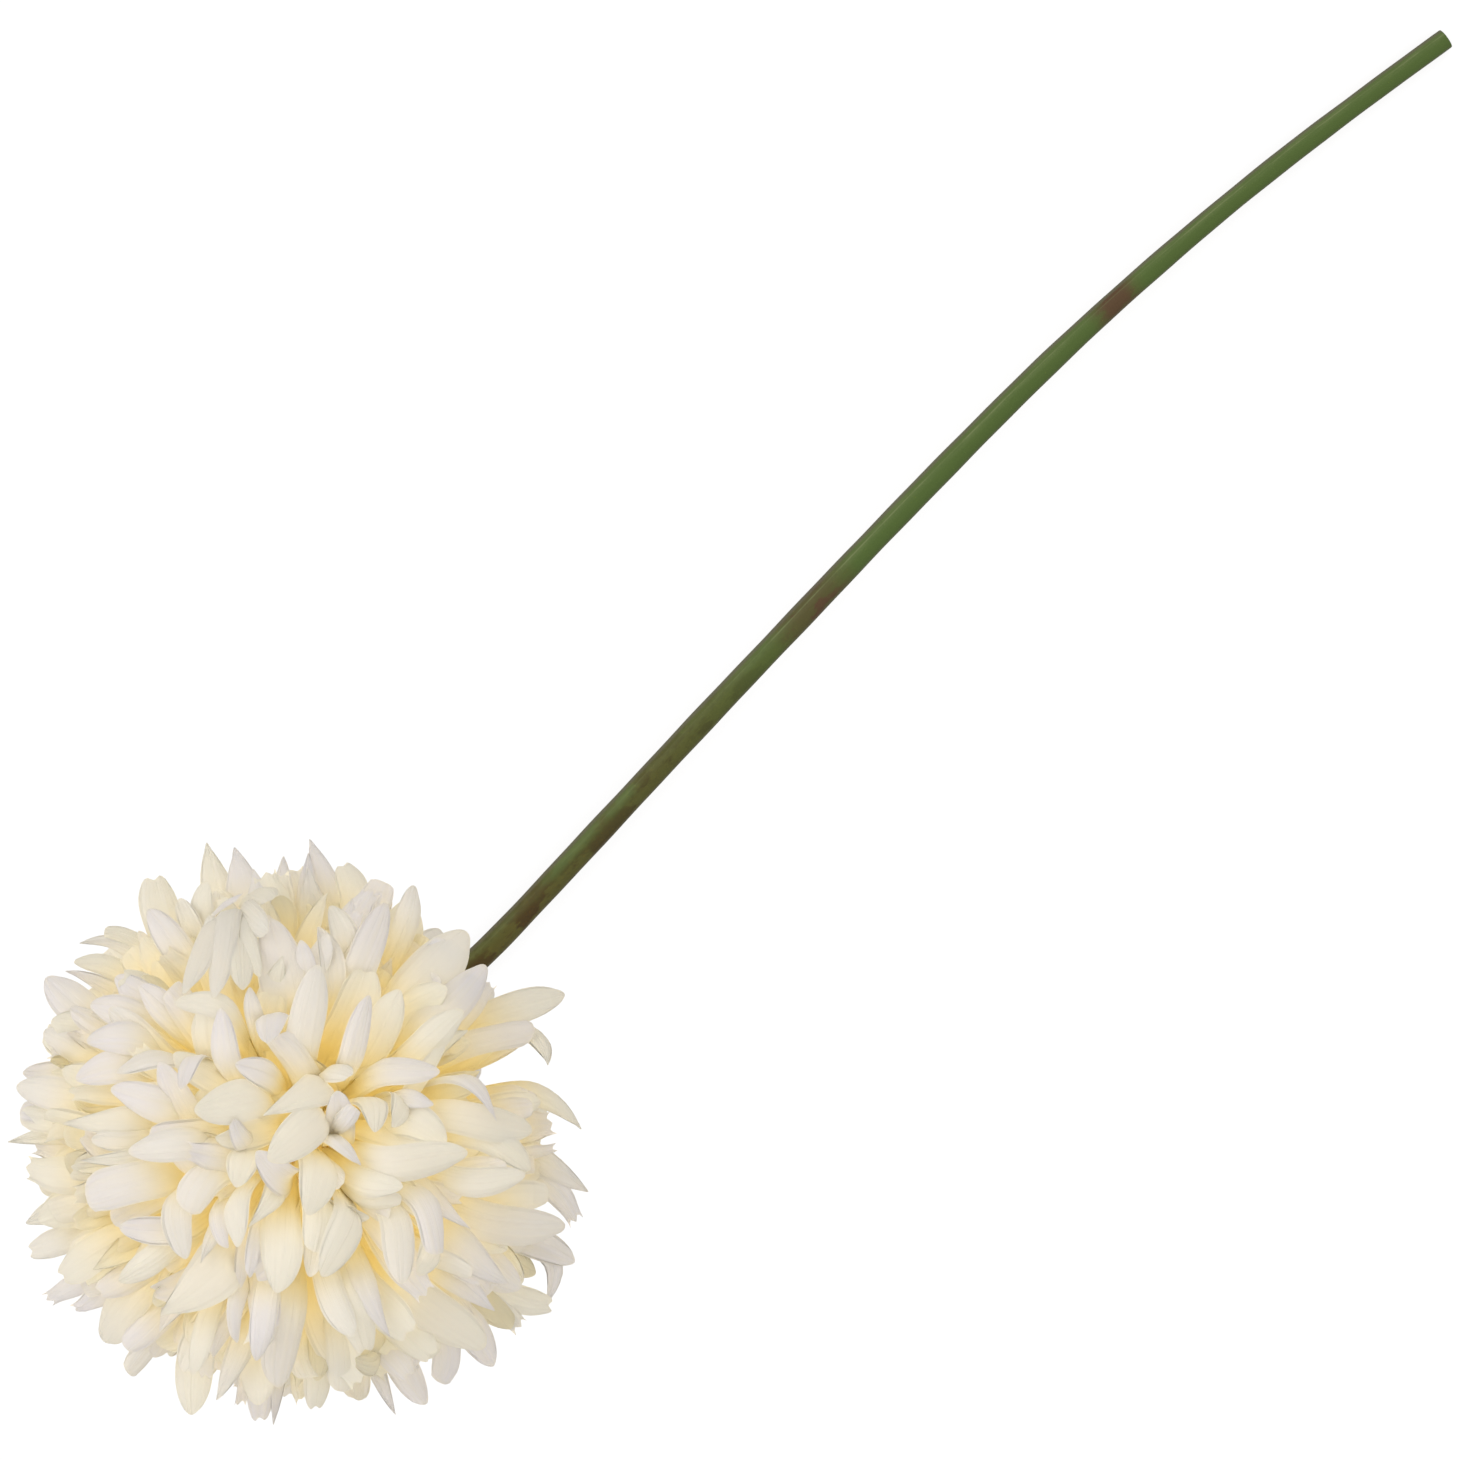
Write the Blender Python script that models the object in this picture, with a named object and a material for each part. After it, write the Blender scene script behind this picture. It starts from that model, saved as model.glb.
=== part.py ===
# Artificial ball chrysanthemum on a bowed stem, laid on a surface with its crown up.
# Metres, +Z up, the surface at z = 0. The head lies at -X and the stem runs along +X.
import math

import bmesh
import bpy
import numpy as np

MM = 0.001

# Head: a core ball that the petals stand out of, its crown leaning a little off upright
HEAD_X = -137.4 * MM
HEAD_HEIGHT = 48.5 * MM
HEAD_RADIUS = 63.0 * MM
CROWN_LEAN = math.radians(5.0)
LEAN_HEADING = math.radians(233.0)
CORE_RADIUS = 24.0 * MM
CORE_SUBDIVISIONS = 3

# Petals: count, the angle at the stem that they leave free, and one petal's own sizes
PETAL_COUNT = 280
STEM_CONE = math.radians(28.5)
GOLDEN_ANGLE = math.pi * (3.0 - math.sqrt(5.0))
PETAL_HALF_WIDTH = 4.5 * MM
PETAL_THICKNESS = 1.0 * MM
ROOT_DEPTH = 2.5 * MM
SHORTEST_PETAL = 0.88
CROWN_PETAL_WIDTH = 0.8
WIDTH_SPREAD = 0.12
EDGE_CURL = 0.25
HOLLOWED_SHARE = 0.35
# Where along a petal its outline has a corner, and how wide it is there
PETAL_OUTLINE = ((0.0, 0.34), (0.5, 0.86), (0.91, 0.84))

# A petal's tip bends away from the crown, most where the petals face halfway up
LEAN_LEAST = 4.0 * MM
LEAN_MORE = 5.5 * MM
LEAN_MOST_AT = math.radians(38.0)
LEAN_RANGE = math.radians(30.0)
LEAN_STARTS_BY = math.radians(25.0)
LEAN_CURVE = 2.5
LEAN_SPREAD = 3.0 * MM
SWAY_SPREAD = 3.0 * MM

# A petal is turned about its own length, most at the crown
ROLL_LEAST = math.radians(18.0)
ROLL_MORE = math.radians(32.0)
ROLL_RANGE = math.radians(30.0)

# Hollow in the ball where the stem runs out from under it
DENT_SHARE = 0.2
DENT_ANGLE = math.radians(16.0)

# Petals that reach the surface bend outwards and lie on it
REST_HEIGHT = 0.1 * MM
REST_ROUNDING = 0.8 * MM
REST_SPREAD = 0.7

# Petals part to both sides of the stem where it runs under the head
PARTING_HALF_WIDTH = 8.5 * MM
PARTING_TOP = 16.0 * MM
PARTING_FADE = 8.0 * MM
PARTING_START = 10.0 * MM

# Stem: a plug in the core, a bend under the head, and a run along the surface
STEM_RADII = ((0.0, 2.85), (45.0, 2.8), (75.0, 2.55), (230.0, 2.4), (290.0, 2.12), (380.0, 2.1))
PLUG_DEPTH = 14.0 * MM
NECK_LENGTH = 31.0 * MM
RUN_HEIGHT = 3.9 * MM
RUN_ARCH = 3.2 * MM
STEM_SPAN = 335.0 * MM
STEM_SIDES_LEVEL = 4
STEM_POINTS = 46
BEND_POINTS = 9
BOW_ROUNDINGS = 6
CLEARANCE = 0.3 * MM
# Sideways bow of the run, as (distance from the head, offset) in millimetres
STEM_BOW = ((48.0, 0.5), (120.0, 4.3), (177.0, 7.0), (206.0, 8.05), (227.5, 8.5),
            (249.0, 8.0), (271.0, 6.9), (292.0, 5.2), (314.0, 2.7), (335.0, 0.0))

# Calyx: a turned cup under the core, as (radius, depth below the head's centre) in millimetres
CUP_PROFILE = ((3.15, 24.3), (6.0, 23.75), (9.0, 22.8), (9.3, 23.9), (7.4, 25.9), (5.3, 28.2),
               (4.5, 30.2), (3.15, 30.2))
CUP_SEGMENTS = 20
BRACT_COUNT = 11
BRACT_HALF_WIDTH = 2.3 * MM
BRACT_INNER = 24.6 * MM
BRACT_OUTER = 25.6 * MM
BRACT_FROM = math.radians(16.0)
BRACT_TO = math.radians(24.0)

CENTRE = np.array((HEAD_X, 0.0, HEAD_HEIGHT))
CROWN = np.array((math.sin(CROWN_LEAN) * math.cos(LEAN_HEADING),
                  math.sin(CROWN_LEAN) * math.sin(LEAN_HEADING), math.cos(CROWN_LEAN)))
CROSS = np.cross(CROWN, (1.0, 0.0, 0.0)) / np.linalg.norm(np.cross(CROWN, (1.0, 0.0, 0.0)))
SIDE = np.cross(CROSS, CROWN)


def remove_objects():
    for thing in list(bpy.data.objects):
        bpy.data.objects.remove(thing, do_unlink=True)


def make_material(name, colour, roughness):
    material = bpy.data.materials.new(name)
    material.use_nodes = True
    shader = material.node_tree.nodes["Principled BSDF"]
    shader.inputs["Base Color"].default_value = (*colour, 1.0)
    shader.inputs["Roughness"].default_value = roughness
    shader.inputs["Metallic"].default_value = 0.0
    return material


def add_object(name, bm, collection=None):
    mesh = bpy.data.meshes.new(name)
    bm.to_mesh(mesh)
    bm.free()
    thing = bpy.data.objects.new(name, mesh)
    (collection or bpy.context.scene.collection).objects.link(thing)
    return thing


def unit(vector):
    return vector / np.linalg.norm(vector)


def chance(petal, draw):
    """A fixed number from 0 to 1 for one petal and one of its features."""
    return (math.sin(petal * 12.9898 + draw * 78.233) * 43758.5453) % 1.0


def smooth_step(value):
    value = min(max(value, 0.0), 1.0)
    return value * value * (3.0 - 2.0 * value)


def direction(angle, turn):
    """The way out of the head at an angle from the crown, and the two ways across it."""
    outwards = math.cos(turn) * SIDE + math.sin(turn) * CROSS
    out = math.cos(angle) * CROWN + math.sin(angle) * outwards
    toward_crown = math.sin(angle) * CROWN - math.cos(angle) * outwards
    return out, toward_crown, np.cross(CROWN, outwards)


def lean_back(angle):
    """How far a petal's tip bends away from the crown: most halfway up, less at the rim."""
    halfway = math.exp(-((angle - LEAN_MOST_AT) / LEAN_RANGE) ** 2)
    return (LEAN_LEAST + LEAN_MORE * halfway) * smooth_step(angle / LEAN_STARTS_BY)


def part_from_stem(point, side):
    """Moves a point sideways, off the stem, where the stem runs under the head."""
    share = smooth_step((PARTING_TOP - point[2]) / PARTING_FADE)
    share *= smooth_step((point[0] - HEAD_X) / PARTING_START)
    kept = math.hypot(point[1], share * PARTING_HALF_WIDTH) - abs(point[1])
    point[1] += side * kept


def lay_on_surface(point, outwards):
    """Lifts a point that would lie below the surface and spreads it outwards."""
    above = point[2] - REST_HEIGHT
    lift = 0.5 * (math.hypot(above, REST_ROUNDING) - above)
    point[2] += lift
    point += outwards * lift * REST_SPREAD


def petal_place(petal):
    """A petal's angle from the crown and its turn, evenly spread over the ball."""
    covered = 1.0 + math.cos(STEM_CONE)
    height = 1.0 - (petal + 0.5) / PETAL_COUNT * covered
    return math.acos(height), petal * GOLDEN_ANGLE


def petal_line(petal):
    """A function giving the petal's middle line from its root at 0 to its tip at 1."""
    angle, turn = petal_place(petal)
    out, toward_crown, across = direction(angle, turn)
    dent = math.exp(-(math.acos(min(out[0], 1.0)) / DENT_ANGLE) ** 2)
    reach = HEAD_RADIUS * (SHORTEST_PETAL + (1.0 - SHORTEST_PETAL) * chance(petal, 1))
    reach *= 1.0 - DENT_SHARE * dent
    root = CORE_RADIUS - ROOT_DEPTH
    lean = lean_back(angle) + LEAN_SPREAD * (2.0 * chance(petal, 2) - 1.0)
    sway = SWAY_SPREAD * (2.0 * chance(petal, 3) - 1.0)
    level = unit(np.array((out[0], out[1], 0.0)))
    side = 1.0 if out[1] >= 0.0 else -1.0

    def line(share):
        point = CENTRE + out * (root + (reach - root) * share)
        point += (across * sway - toward_crown * lean) * max(share, 0.0) ** LEAN_CURVE
        lay_on_surface(point, level)
        part_from_stem(point, side)
        return point

    return line


def petal_width_direction(petal):
    """Across the petal: sideways on the ball, turned by the petal's own roll."""
    angle, turn = petal_place(petal)
    out, toward_crown, across = direction(angle, turn)
    most = ROLL_LEAST + ROLL_MORE * math.exp(-(angle / ROLL_RANGE) ** 2)
    roll = most * (2.0 * chance(petal, 4) - 1.0)
    return across * math.cos(roll) + toward_crown * math.sin(roll)


def petal_shape(petal):
    """One petal as a closed solid: four corners at each station, then the tip."""
    line = petal_line(petal)
    width_direction = petal_width_direction(petal)
    angle = petal_place(petal)[0]
    rim_share = smooth_step(angle / math.radians(90.0))
    half_width = PETAL_HALF_WIDTH * (CROWN_PETAL_WIDTH + (1.0 - CROWN_PETAL_WIDTH) * rim_share)
    half_width *= 1.0 + WIDTH_SPREAD * (2.0 * chance(petal, 5) - 1.0)
    curl = EDGE_CURL if chance(petal, 6) < HOLLOWED_SHARE else -EDGE_CURL
    bm = bmesh.new()
    rings = []
    for share, width in PETAL_OUTLINE:
        point = line(share)
        along = unit(line(share + 0.02) - line(share - 0.02))
        across = unit(width_direction - along * width_direction.dot(along))
        normal = np.cross(along, across)
        reach = across * half_width * width
        rise = normal * half_width * width * curl
        half_thickness = normal * PETAL_THICKNESS / 2.0
        corners = (point - reach + rise, point + half_thickness,
                   point + reach + rise, point - half_thickness)
        rings.append([bm.verts.new(corner) for corner in corners])
    tip = bm.verts.new(line(1.0))
    bm.faces.new(rings[0])
    for lower, upper in zip(rings, rings[1:]):
        left, top, right, bottom = lower
        left_up, top_up, right_up, bottom_up = upper
        for edge, edge_up, middle, middle_up, turned in (
                (left, left_up, top, top_up, False), (right, right_up, top, top_up, True),
                (left, left_up, bottom, bottom_up, True), (right, right_up, bottom, bottom_up, False)):
            for corners in ((edge, middle, middle_up), (edge, middle_up, edge_up)):
                bm.faces.new(corners[::-1] if turned else corners)
    for first, second in zip(rings[-1], rings[-1][1:] + rings[-1][:1]):
        bm.faces.new((first, second, tip))
    bmesh.ops.recalc_face_normals(bm, faces=bm.faces)
    return bm


def core_ball():
    """The ball that the petals stand out of."""
    bm = bmesh.new()
    bmesh.ops.create_icosphere(bm, subdivisions=CORE_SUBDIVISIONS, radius=CORE_RADIUS)
    place_on_head_axis(bm)
    return bm


def place_on_head_axis(bm):
    """Turns a shape made round +Z to the crown line and moves it to the head's centre."""
    for vert in bm.verts:
        x, y, z = vert.co
        vert.co = CENTRE + x * SIDE + y * CROSS + z * CROWN


def rod(radius, low, high, segments):
    """A rod along the crown line, between two heights from the head's centre."""
    bm = bmesh.new()
    bmesh.ops.create_cone(bm, cap_ends=True, segments=segments, radius1=radius, radius2=radius,
                          depth=high - low)
    bmesh.ops.translate(bm, verts=bm.verts, vec=(0.0, 0.0, (high + low) / 2.0))
    place_on_head_axis(bm)
    return bm


def apply_modifiers(thing):
    """Replaces an object's mesh with the one its modifiers give."""
    graph = bpy.context.evaluated_depsgraph_get()
    mesh = bpy.data.meshes.new_from_object(thing.evaluated_get(graph))
    thing.modifiers.clear()
    thing.data = mesh


def unite(thing, collection):
    """Joins every object of a collection to a thing as one body, then removes them."""
    joint = thing.modifiers.new("unite", "BOOLEAN")
    joint.operation = "UNION"
    joint.operand_type = "COLLECTION"
    joint.solver = "MANIFOLD"
    joint.collection = collection
    apply_modifiers(thing)
    for piece in list(collection.objects):
        bpy.data.objects.remove(piece, do_unlink=True)
    bpy.data.collections.remove(collection)


def cut(thing, cutter):
    cutter.hide_render = True
    cutter.display_type = "WIRE"
    slot = thing.modifiers.new("cut", "BOOLEAN")
    slot.operation = "DIFFERENCE"
    slot.solver = "MANIFOLD"
    slot.object = cutter
    apply_modifiers(thing)
    bpy.data.objects.remove(cutter, do_unlink=True)


def keep_main_body(thing):
    """Drops loose scraps and fills sealed hollows by keeping the largest shell only."""
    bm = bmesh.new()
    bm.from_mesh(thing.data)
    seen = set()
    shells = []
    for vert in bm.verts:
        if vert in seen:
            continue
        shell = [vert]
        seen.add(vert)
        for member in shell:
            for edge in member.link_edges:
                other = edge.other_vert(member)
                if other not in seen:
                    seen.add(other)
                    shell.append(other)
        shells.append(shell)
    shells.sort(key=len, reverse=True)
    for shell in shells[1:]:
        bmesh.ops.delete(bm, geom=shell, context="VERTS")
    bm.to_mesh(thing.data)
    bm.free()


def finish(thing, material):
    thing.data.materials.clear()
    thing.data.materials.append(material)
    thing.data.shade_smooth()
    thing.data.set_sharp_from_angle(angle=math.radians(40.0))


def new_collection(name):
    collection = bpy.data.collections.new(name)
    bpy.context.scene.collection.children.link(collection)
    return collection


def make_bloom(material):
    """Petals fused to their core, with a socket for the stem and a flat where it rests."""
    bloom = add_object("bloom", core_ball())
    petals = new_collection("petals")
    for petal in range(PETAL_COUNT):
        add_object(f"petal_{petal}", petal_shape(petal), petals)
    unite(bloom, petals)
    socket_radius = STEM_RADII[0][1] * MM + CLEARANCE
    socket = rod(socket_radius, -2.0 * CORE_RADIUS, CLEARANCE - PLUG_DEPTH, 16)
    cut(bloom, add_object("socket", socket))
    below = bmesh.new()
    bmesh.ops.create_cube(below, size=4.0 * HEAD_RADIUS)
    bmesh.ops.translate(below, verts=below.verts, vec=(HEAD_X, 0.0, -2.0 * HEAD_RADIUS))
    cut(bloom, add_object("below_surface", below))
    keep_main_body(bloom)
    finish(bloom, material)
    return bloom


def bract_shape(turn):
    """A pointed green scale that hugs the underside of the core."""
    bm = bmesh.new()
    rings = []
    for angle, width in ((BRACT_FROM, 0.9), ((BRACT_FROM + BRACT_TO) / 2.0, 0.75)):
        out, toward_crown, across = direction(math.pi - angle, turn)
        reach = across * BRACT_HALF_WIDTH * width
        rings.append([bm.verts.new(CENTRE + out * radius + side * reach)
                      for radius, side in ((BRACT_INNER, -1), (BRACT_OUTER, -1),
                                           (BRACT_OUTER, 1), (BRACT_INNER, 1))])
    out = direction(math.pi - BRACT_TO, turn)[0]
    tip = [bm.verts.new(CENTRE + out * radius) for radius in (BRACT_INNER, BRACT_OUTER)]
    bm.faces.new(rings[0])
    for first in range(4):
        second = (first + 1) % 4
        lower, upper = rings
        bm.faces.new((lower[first], lower[second], upper[second], upper[first]))
    inner_left, outer_left, outer_right, inner_right = rings[1]
    bm.faces.new((inner_left, outer_left, tip[1], tip[0]))
    bm.faces.new((outer_left, outer_right, tip[1]))
    bm.faces.new((outer_right, inner_right, tip[0], tip[1]))
    bm.faces.new((inner_right, inner_left, tip[0]))
    bmesh.ops.recalc_face_normals(bm, faces=bm.faces)
    return bm


def make_calyx(material):
    """The cup that holds the head on its stem, with a ring of pointed scales."""
    bm = bmesh.new()
    rings = []
    for turn in np.arange(CUP_SEGMENTS) * 2.0 * math.pi / CUP_SEGMENTS:
        outwards = math.cos(turn) * SIDE + math.sin(turn) * CROSS
        rings.append([bm.verts.new(CENTRE + (outwards * radius - CROWN * depth) * MM)
                      for radius, depth in CUP_PROFILE])
    for ring, next_ring in zip(rings, rings[1:] + rings[:1]):
        for first in range(len(CUP_PROFILE)):
            second = (first + 1) % len(CUP_PROFILE)
            bm.faces.new((ring[first], ring[second], next_ring[second], next_ring[first]))
    bmesh.ops.recalc_face_normals(bm, faces=bm.faces)
    calyx = add_object("calyx", bm)
    bracts = new_collection("bracts")
    for bract in range(BRACT_COUNT):
        turn = 2.0 * math.pi * bract / BRACT_COUNT
        add_object(f"bract_{bract}", bract_shape(turn), bracts)
    unite(calyx, bracts)
    keep_main_body(calyx)
    finish(calyx, material)
    return calyx


def stem_route():
    """Points along the stem: down the crown line, round the bend, then along the surface."""
    down = -CROWN
    start = CENTRE + down * PLUG_DEPTH
    foot = CENTRE + down * NECK_LENGTH
    along = np.array((1.0, 0.0, 0.0))
    turn_in_all = math.acos(down.dot(along))
    inwards = unit(along - down * down.dot(along))
    drop = math.sin(turn_in_all) * down + (1.0 - math.cos(turn_in_all)) * inwards
    radius = (RUN_HEIGHT - foot[2]) / drop[2]
    points = [start, (start + foot) / 2.0, foot]
    for turn in np.linspace(0.0, turn_in_all, BEND_POINTS)[1:]:
        points.append(foot + radius * (math.sin(turn) * down + (1.0 - math.cos(turn)) * inwards))
    run_from = points[-1].copy()
    bow_at, bow = (np.array(values) * MM for values in zip(*STEM_BOW))
    bow_at = np.concatenate(((run_from[0] - HEAD_X,), bow_at))
    bow = np.concatenate(((run_from[1],), bow))
    run_length = STEM_SPAN - bow_at[0]
    end_height = STEM_RADII[-1][1] * MM
    for share in np.linspace(0.0, 1.0, STEM_POINTS)[1:]:
        place = bow_at[0] + run_length * share
        height = RUN_HEIGHT + (end_height - RUN_HEIGHT) * share ** 2
        height += RUN_ARCH * math.sin(math.pi * share) ** 2
        points.append(np.array((HEAD_X + place, np.interp(place, bow_at, bow), height)))
    return smooth_bow(points)


def smooth_bow(points):
    """Rounds the sideways corners of the run with a few passes of averaging."""
    route = np.array(points)
    first = len(route) - STEM_POINTS + 1
    for _ in range(BOW_ROUNDINGS):
        inner = route[first:-1, 1]
        inner[:] = (route[first - 1:-2, 1] + 2.0 * inner + route[first + 1:, 1]) / 4.0
    return route


def make_stem(material):
    """A tapered tube with filled ends along the stem's route."""
    route = stem_route()
    steps = np.linalg.norm(np.diff(route, axis=0), axis=1)
    distance = np.concatenate(((0.0,), np.cumsum(steps)))
    at, radius = (np.array(values) * MM for values in zip(*STEM_RADII))
    curve = bpy.data.curves.new("stem", "CURVE")
    curve.dimensions = "3D"
    curve.bevel_depth = 1.0
    curve.bevel_resolution = STEM_SIDES_LEVEL
    curve.use_fill_caps = True
    spline = curve.splines.new("POLY")
    spline.points.add(len(route) - 1)
    for point, place, size in zip(spline.points, route, np.interp(distance, at, radius)):
        point.co = (*place, 1.0)
        point.radius = size
    tube = bpy.data.objects.new("stem_tube", curve)
    bpy.context.scene.collection.objects.link(tube)
    graph = bpy.context.evaluated_depsgraph_get()
    mesh = bpy.data.meshes.new_from_object(tube.evaluated_get(graph))
    bpy.data.objects.remove(tube, do_unlink=True)
    stem = bpy.data.objects.new("stem", mesh)
    bpy.context.scene.collection.objects.link(stem)
    finish(stem, material)
    return stem


def main():
    remove_objects()
    make_bloom(make_material("petal_fabric", (0.79, 0.69, 0.53), 0.85))
    make_calyx(make_material("calyx_green", (0.13, 0.19, 0.07), 0.6))
    make_stem(make_material("stem_green", (0.12, 0.16, 0.06), 0.5))


main()
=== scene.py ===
import math

import bmesh
import bpy
import numpy as np
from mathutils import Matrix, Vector


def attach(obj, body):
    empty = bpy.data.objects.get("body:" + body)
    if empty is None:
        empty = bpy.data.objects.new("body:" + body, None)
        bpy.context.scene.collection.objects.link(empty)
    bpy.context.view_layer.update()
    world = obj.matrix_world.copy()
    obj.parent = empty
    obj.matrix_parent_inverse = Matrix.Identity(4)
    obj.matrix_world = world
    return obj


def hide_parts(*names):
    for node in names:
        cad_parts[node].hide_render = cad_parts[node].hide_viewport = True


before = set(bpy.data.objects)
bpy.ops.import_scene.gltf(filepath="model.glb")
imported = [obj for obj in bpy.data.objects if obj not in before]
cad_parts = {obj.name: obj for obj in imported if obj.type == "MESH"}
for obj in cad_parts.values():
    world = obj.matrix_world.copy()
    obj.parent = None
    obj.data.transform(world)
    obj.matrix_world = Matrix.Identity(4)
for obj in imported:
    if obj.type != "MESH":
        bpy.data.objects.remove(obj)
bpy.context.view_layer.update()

mm = 0.001
tiny = 1e-9  # added to a vector that may have no length
tinyRadius = 0.0005 * mm  # of the rings that close a tube's ends
weldReach = 0.002 * mm
goldenAngle = math.pi * (3.0 - math.sqrt(5.0))
print("frame loaded:", ", ".join(sorted(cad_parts)))

# the head's place and build, the same values as the part's source
head = {
    "x": -137.4 * mm,
    "height": 48.5 * mm,
    "reach": 63.0 * mm,
    "crownLean": math.radians(5.0),
    "leanHeading": math.radians(233.0),
    "coreRadius": 24.0 * mm,
    "stemCone": math.radians(28.5),
    "dentShare": 0.2,
    "dentAngle": math.radians(16.0),
}
centre = np.array((head["x"], 0.0, head["height"]))
crown = np.array((math.sin(head["crownLean"]) * math.cos(head["leanHeading"]),
                  math.sin(head["crownLean"]) * math.sin(head["leanHeading"]),
                  math.cos(head["crownLean"])))
cross = np.cross(crown, (1.0, 0.0, 0.0))
cross /= np.linalg.norm(cross)
side = np.cross(cross, crown)


studio = {
    "floorSize": 6.0,
    "floorDrop": 0.15 * mm,
    "floorColour": (1.0, 1.0, 1.0),
    "floorShade": (0.80, 0.79, 0.78),
    "paperShade": (0.99, 0.99, 0.99),
    "shadeReach": 12.0 * mm,
    "floorStrength": 1.06,
    "floorBounce": (0.36, 0.36, 0.36),
    "floorRoughness": 0.9,
    "world": 0.82,
    "ambient": 2.45,
    "ambientReach": 2.5 * mm,
    "ambientAfter": 2,
    "lights": (
        {"name": "key", "at": (-0.15, 1.1, 1.9), "size": 1.4, "power": 13.0, "colour": (1.0, 0.985, 0.96)},
        {"name": "fill", "at": (0.5, -1.0, 1.7), "size": 1.8, "power": 4.0, "colour": (1.0, 0.97, 0.92)},
        {"name": "cool", "at": (-1.3, 0.5, 0.8), "size": 1.0, "power": 4.0, "colour": (0.93, 0.90, 1.0)},
    ),
    "cameraHeight": 1.5,
    "cameraPast": (122.4 * mm, -1.4 * mm),
    "cameraTurn": math.radians(-43.6),
    "lens": 173.0,
    "clip": (0.05, 20.0),
}
# where the camera stands, and the ways to the right and up in its picture
eye = np.array((head["x"] + studio["cameraPast"][0], studio["cameraPast"][1], studio["cameraHeight"]))
pictureAxes = np.array(((math.cos(studio["cameraTurn"]), math.sin(studio["cameraTurn"]), 0.0),
                        (-math.sin(studio["cameraTurn"]), math.cos(studio["cameraTurn"]), 0.0)))


def smoothStep(value):  # 0 below 0, 1 above 1, an S curve between
    value = np.clip(value, 0.0, 1.0)
    return value * value * (3.0 - 2.0 * value)


def chance(item, draw):  # a fixed number from 0 to 1 for one item and one of its features
    return np.mod(np.sin(item * 12.9898 + draw * 78.233) * 43758.5453, 1.0)


def spread(item, draw):  # the same from -1 to 1
    return 2.0 * chance(item, draw) - 1.0


def unit(vectors):
    return vectors / np.linalg.norm(vectors, axis=-1, keepdims=True)


def dot(first, second):
    return np.sum(first * second, axis=-1, keepdims=True)


# A closed mesh object from arrays: points, quads, one UV pair per point and named numbers per point.
def makePiece(name, points, quads, uv, numbers, material):
    mesh = bpy.data.meshes.new(name)
    mesh.vertices.add(len(points))
    mesh.vertices.foreach_set("co", np.asarray(points, np.float32).ravel())
    mesh.loops.add(quads.size)
    mesh.loops.foreach_set("vertex_index", quads.ravel().astype(np.int32))
    mesh.polygons.add(len(quads))
    mesh.polygons.foreach_set("loop_start", np.arange(0, quads.size, 4, dtype=np.int32))
    mesh.update(calc_edges=True)
    mesh.uv_layers.new(name="along").data.foreach_set("uv", uv[quads.ravel()].astype(np.float32).ravel())
    for label, values in numbers.items():
        mesh.attributes.new(label, "FLOAT", "POINT").data.foreach_set("value", values.astype(np.float32))
    mesh.shade_smooth()
    mesh.validate()
    mesh.materials.append(material)
    piece = bpy.data.objects.new(name, mesh)
    bpy.context.scene.collection.objects.link(piece)
    return piece


# Quads of thin shells: two sheets of rows by columns that share their rim, repeated for each shell.
def shellQuads(rows, columns, count):
    top = np.arange(rows * columns).reshape(rows, columns)
    bottom = top.copy()
    inner = (rows - 2) * (columns - 2)
    bottom[1:-1, 1:-1] = rows * columns + np.arange(inner).reshape(rows - 2, columns - 2)
    upper = np.stack((top[:-1, :-1], top[1:, :-1], top[1:, 1:], top[:-1, 1:]), axis=-1)
    lower = np.stack((bottom[:-1, :-1], bottom[:-1, 1:], bottom[1:, 1:], bottom[1:, :-1]), axis=-1)
    shell = np.concatenate((upper.reshape(-1, 4), lower.reshape(-1, 4)))
    starts = np.arange(count) * (rows * columns + inner)
    return (shell + starts[:, None, None]).reshape(-1, 4)


# Points of thin shells: each sheet's inside is moved by half the thickness to both sides.
def shellPoints(sheets, half):
    upper = sheets.copy()
    upper[:, 1:-1, 1:-1] += half
    lower = sheets[:, 1:-1, 1:-1] - half
    return np.concatenate([part.reshape(len(sheets), -1, part.shape[-1]) for part in (upper, lower)], axis=1)


petalGrid = {
    "bladeRows": (0.0, 0.36, 0.58, 0.74, 0.88),  # shares of the length before the tip starts
    "tipRows": (0.0, 0.4, 0.72, 1.0),
    "columns": (-1.0, -0.5, 0.0, 0.5, 1.0),
    "thickness": 0.3 * mm,
    "rootSink": 2.5 * mm,
    "rootWidth": 0.3,
    "widestAt": 0.6,
    "widening": 1.3,
    "rootRoll": 0.9,
    "ridge": 0.44 * mm,
    "foldLean": 0.8,
    "wave": 0.6 * mm,
    "waves": 9.0,
    "uneven": 0.17,
    "unevenWaves": 7.0,
    "bow": 1.4 * mm,
    "rounding": 7.0 * mm,
    "kink": 2.6 * mm,
    "kinkAt": 0.72,
    "kinkSoftness": 0.05,
    "smoothing": 1,
}
# the least and the most of what is drawn for each petal
petalDraws = {
    "hook": (-0.3, 1.0),
    "arc": (0.4, 1.0),
    "ruffle": (0.3, 1.0),
    "rounding": (0.6, 1.4),
    "folds": (0.5, 1.5),
}
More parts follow.
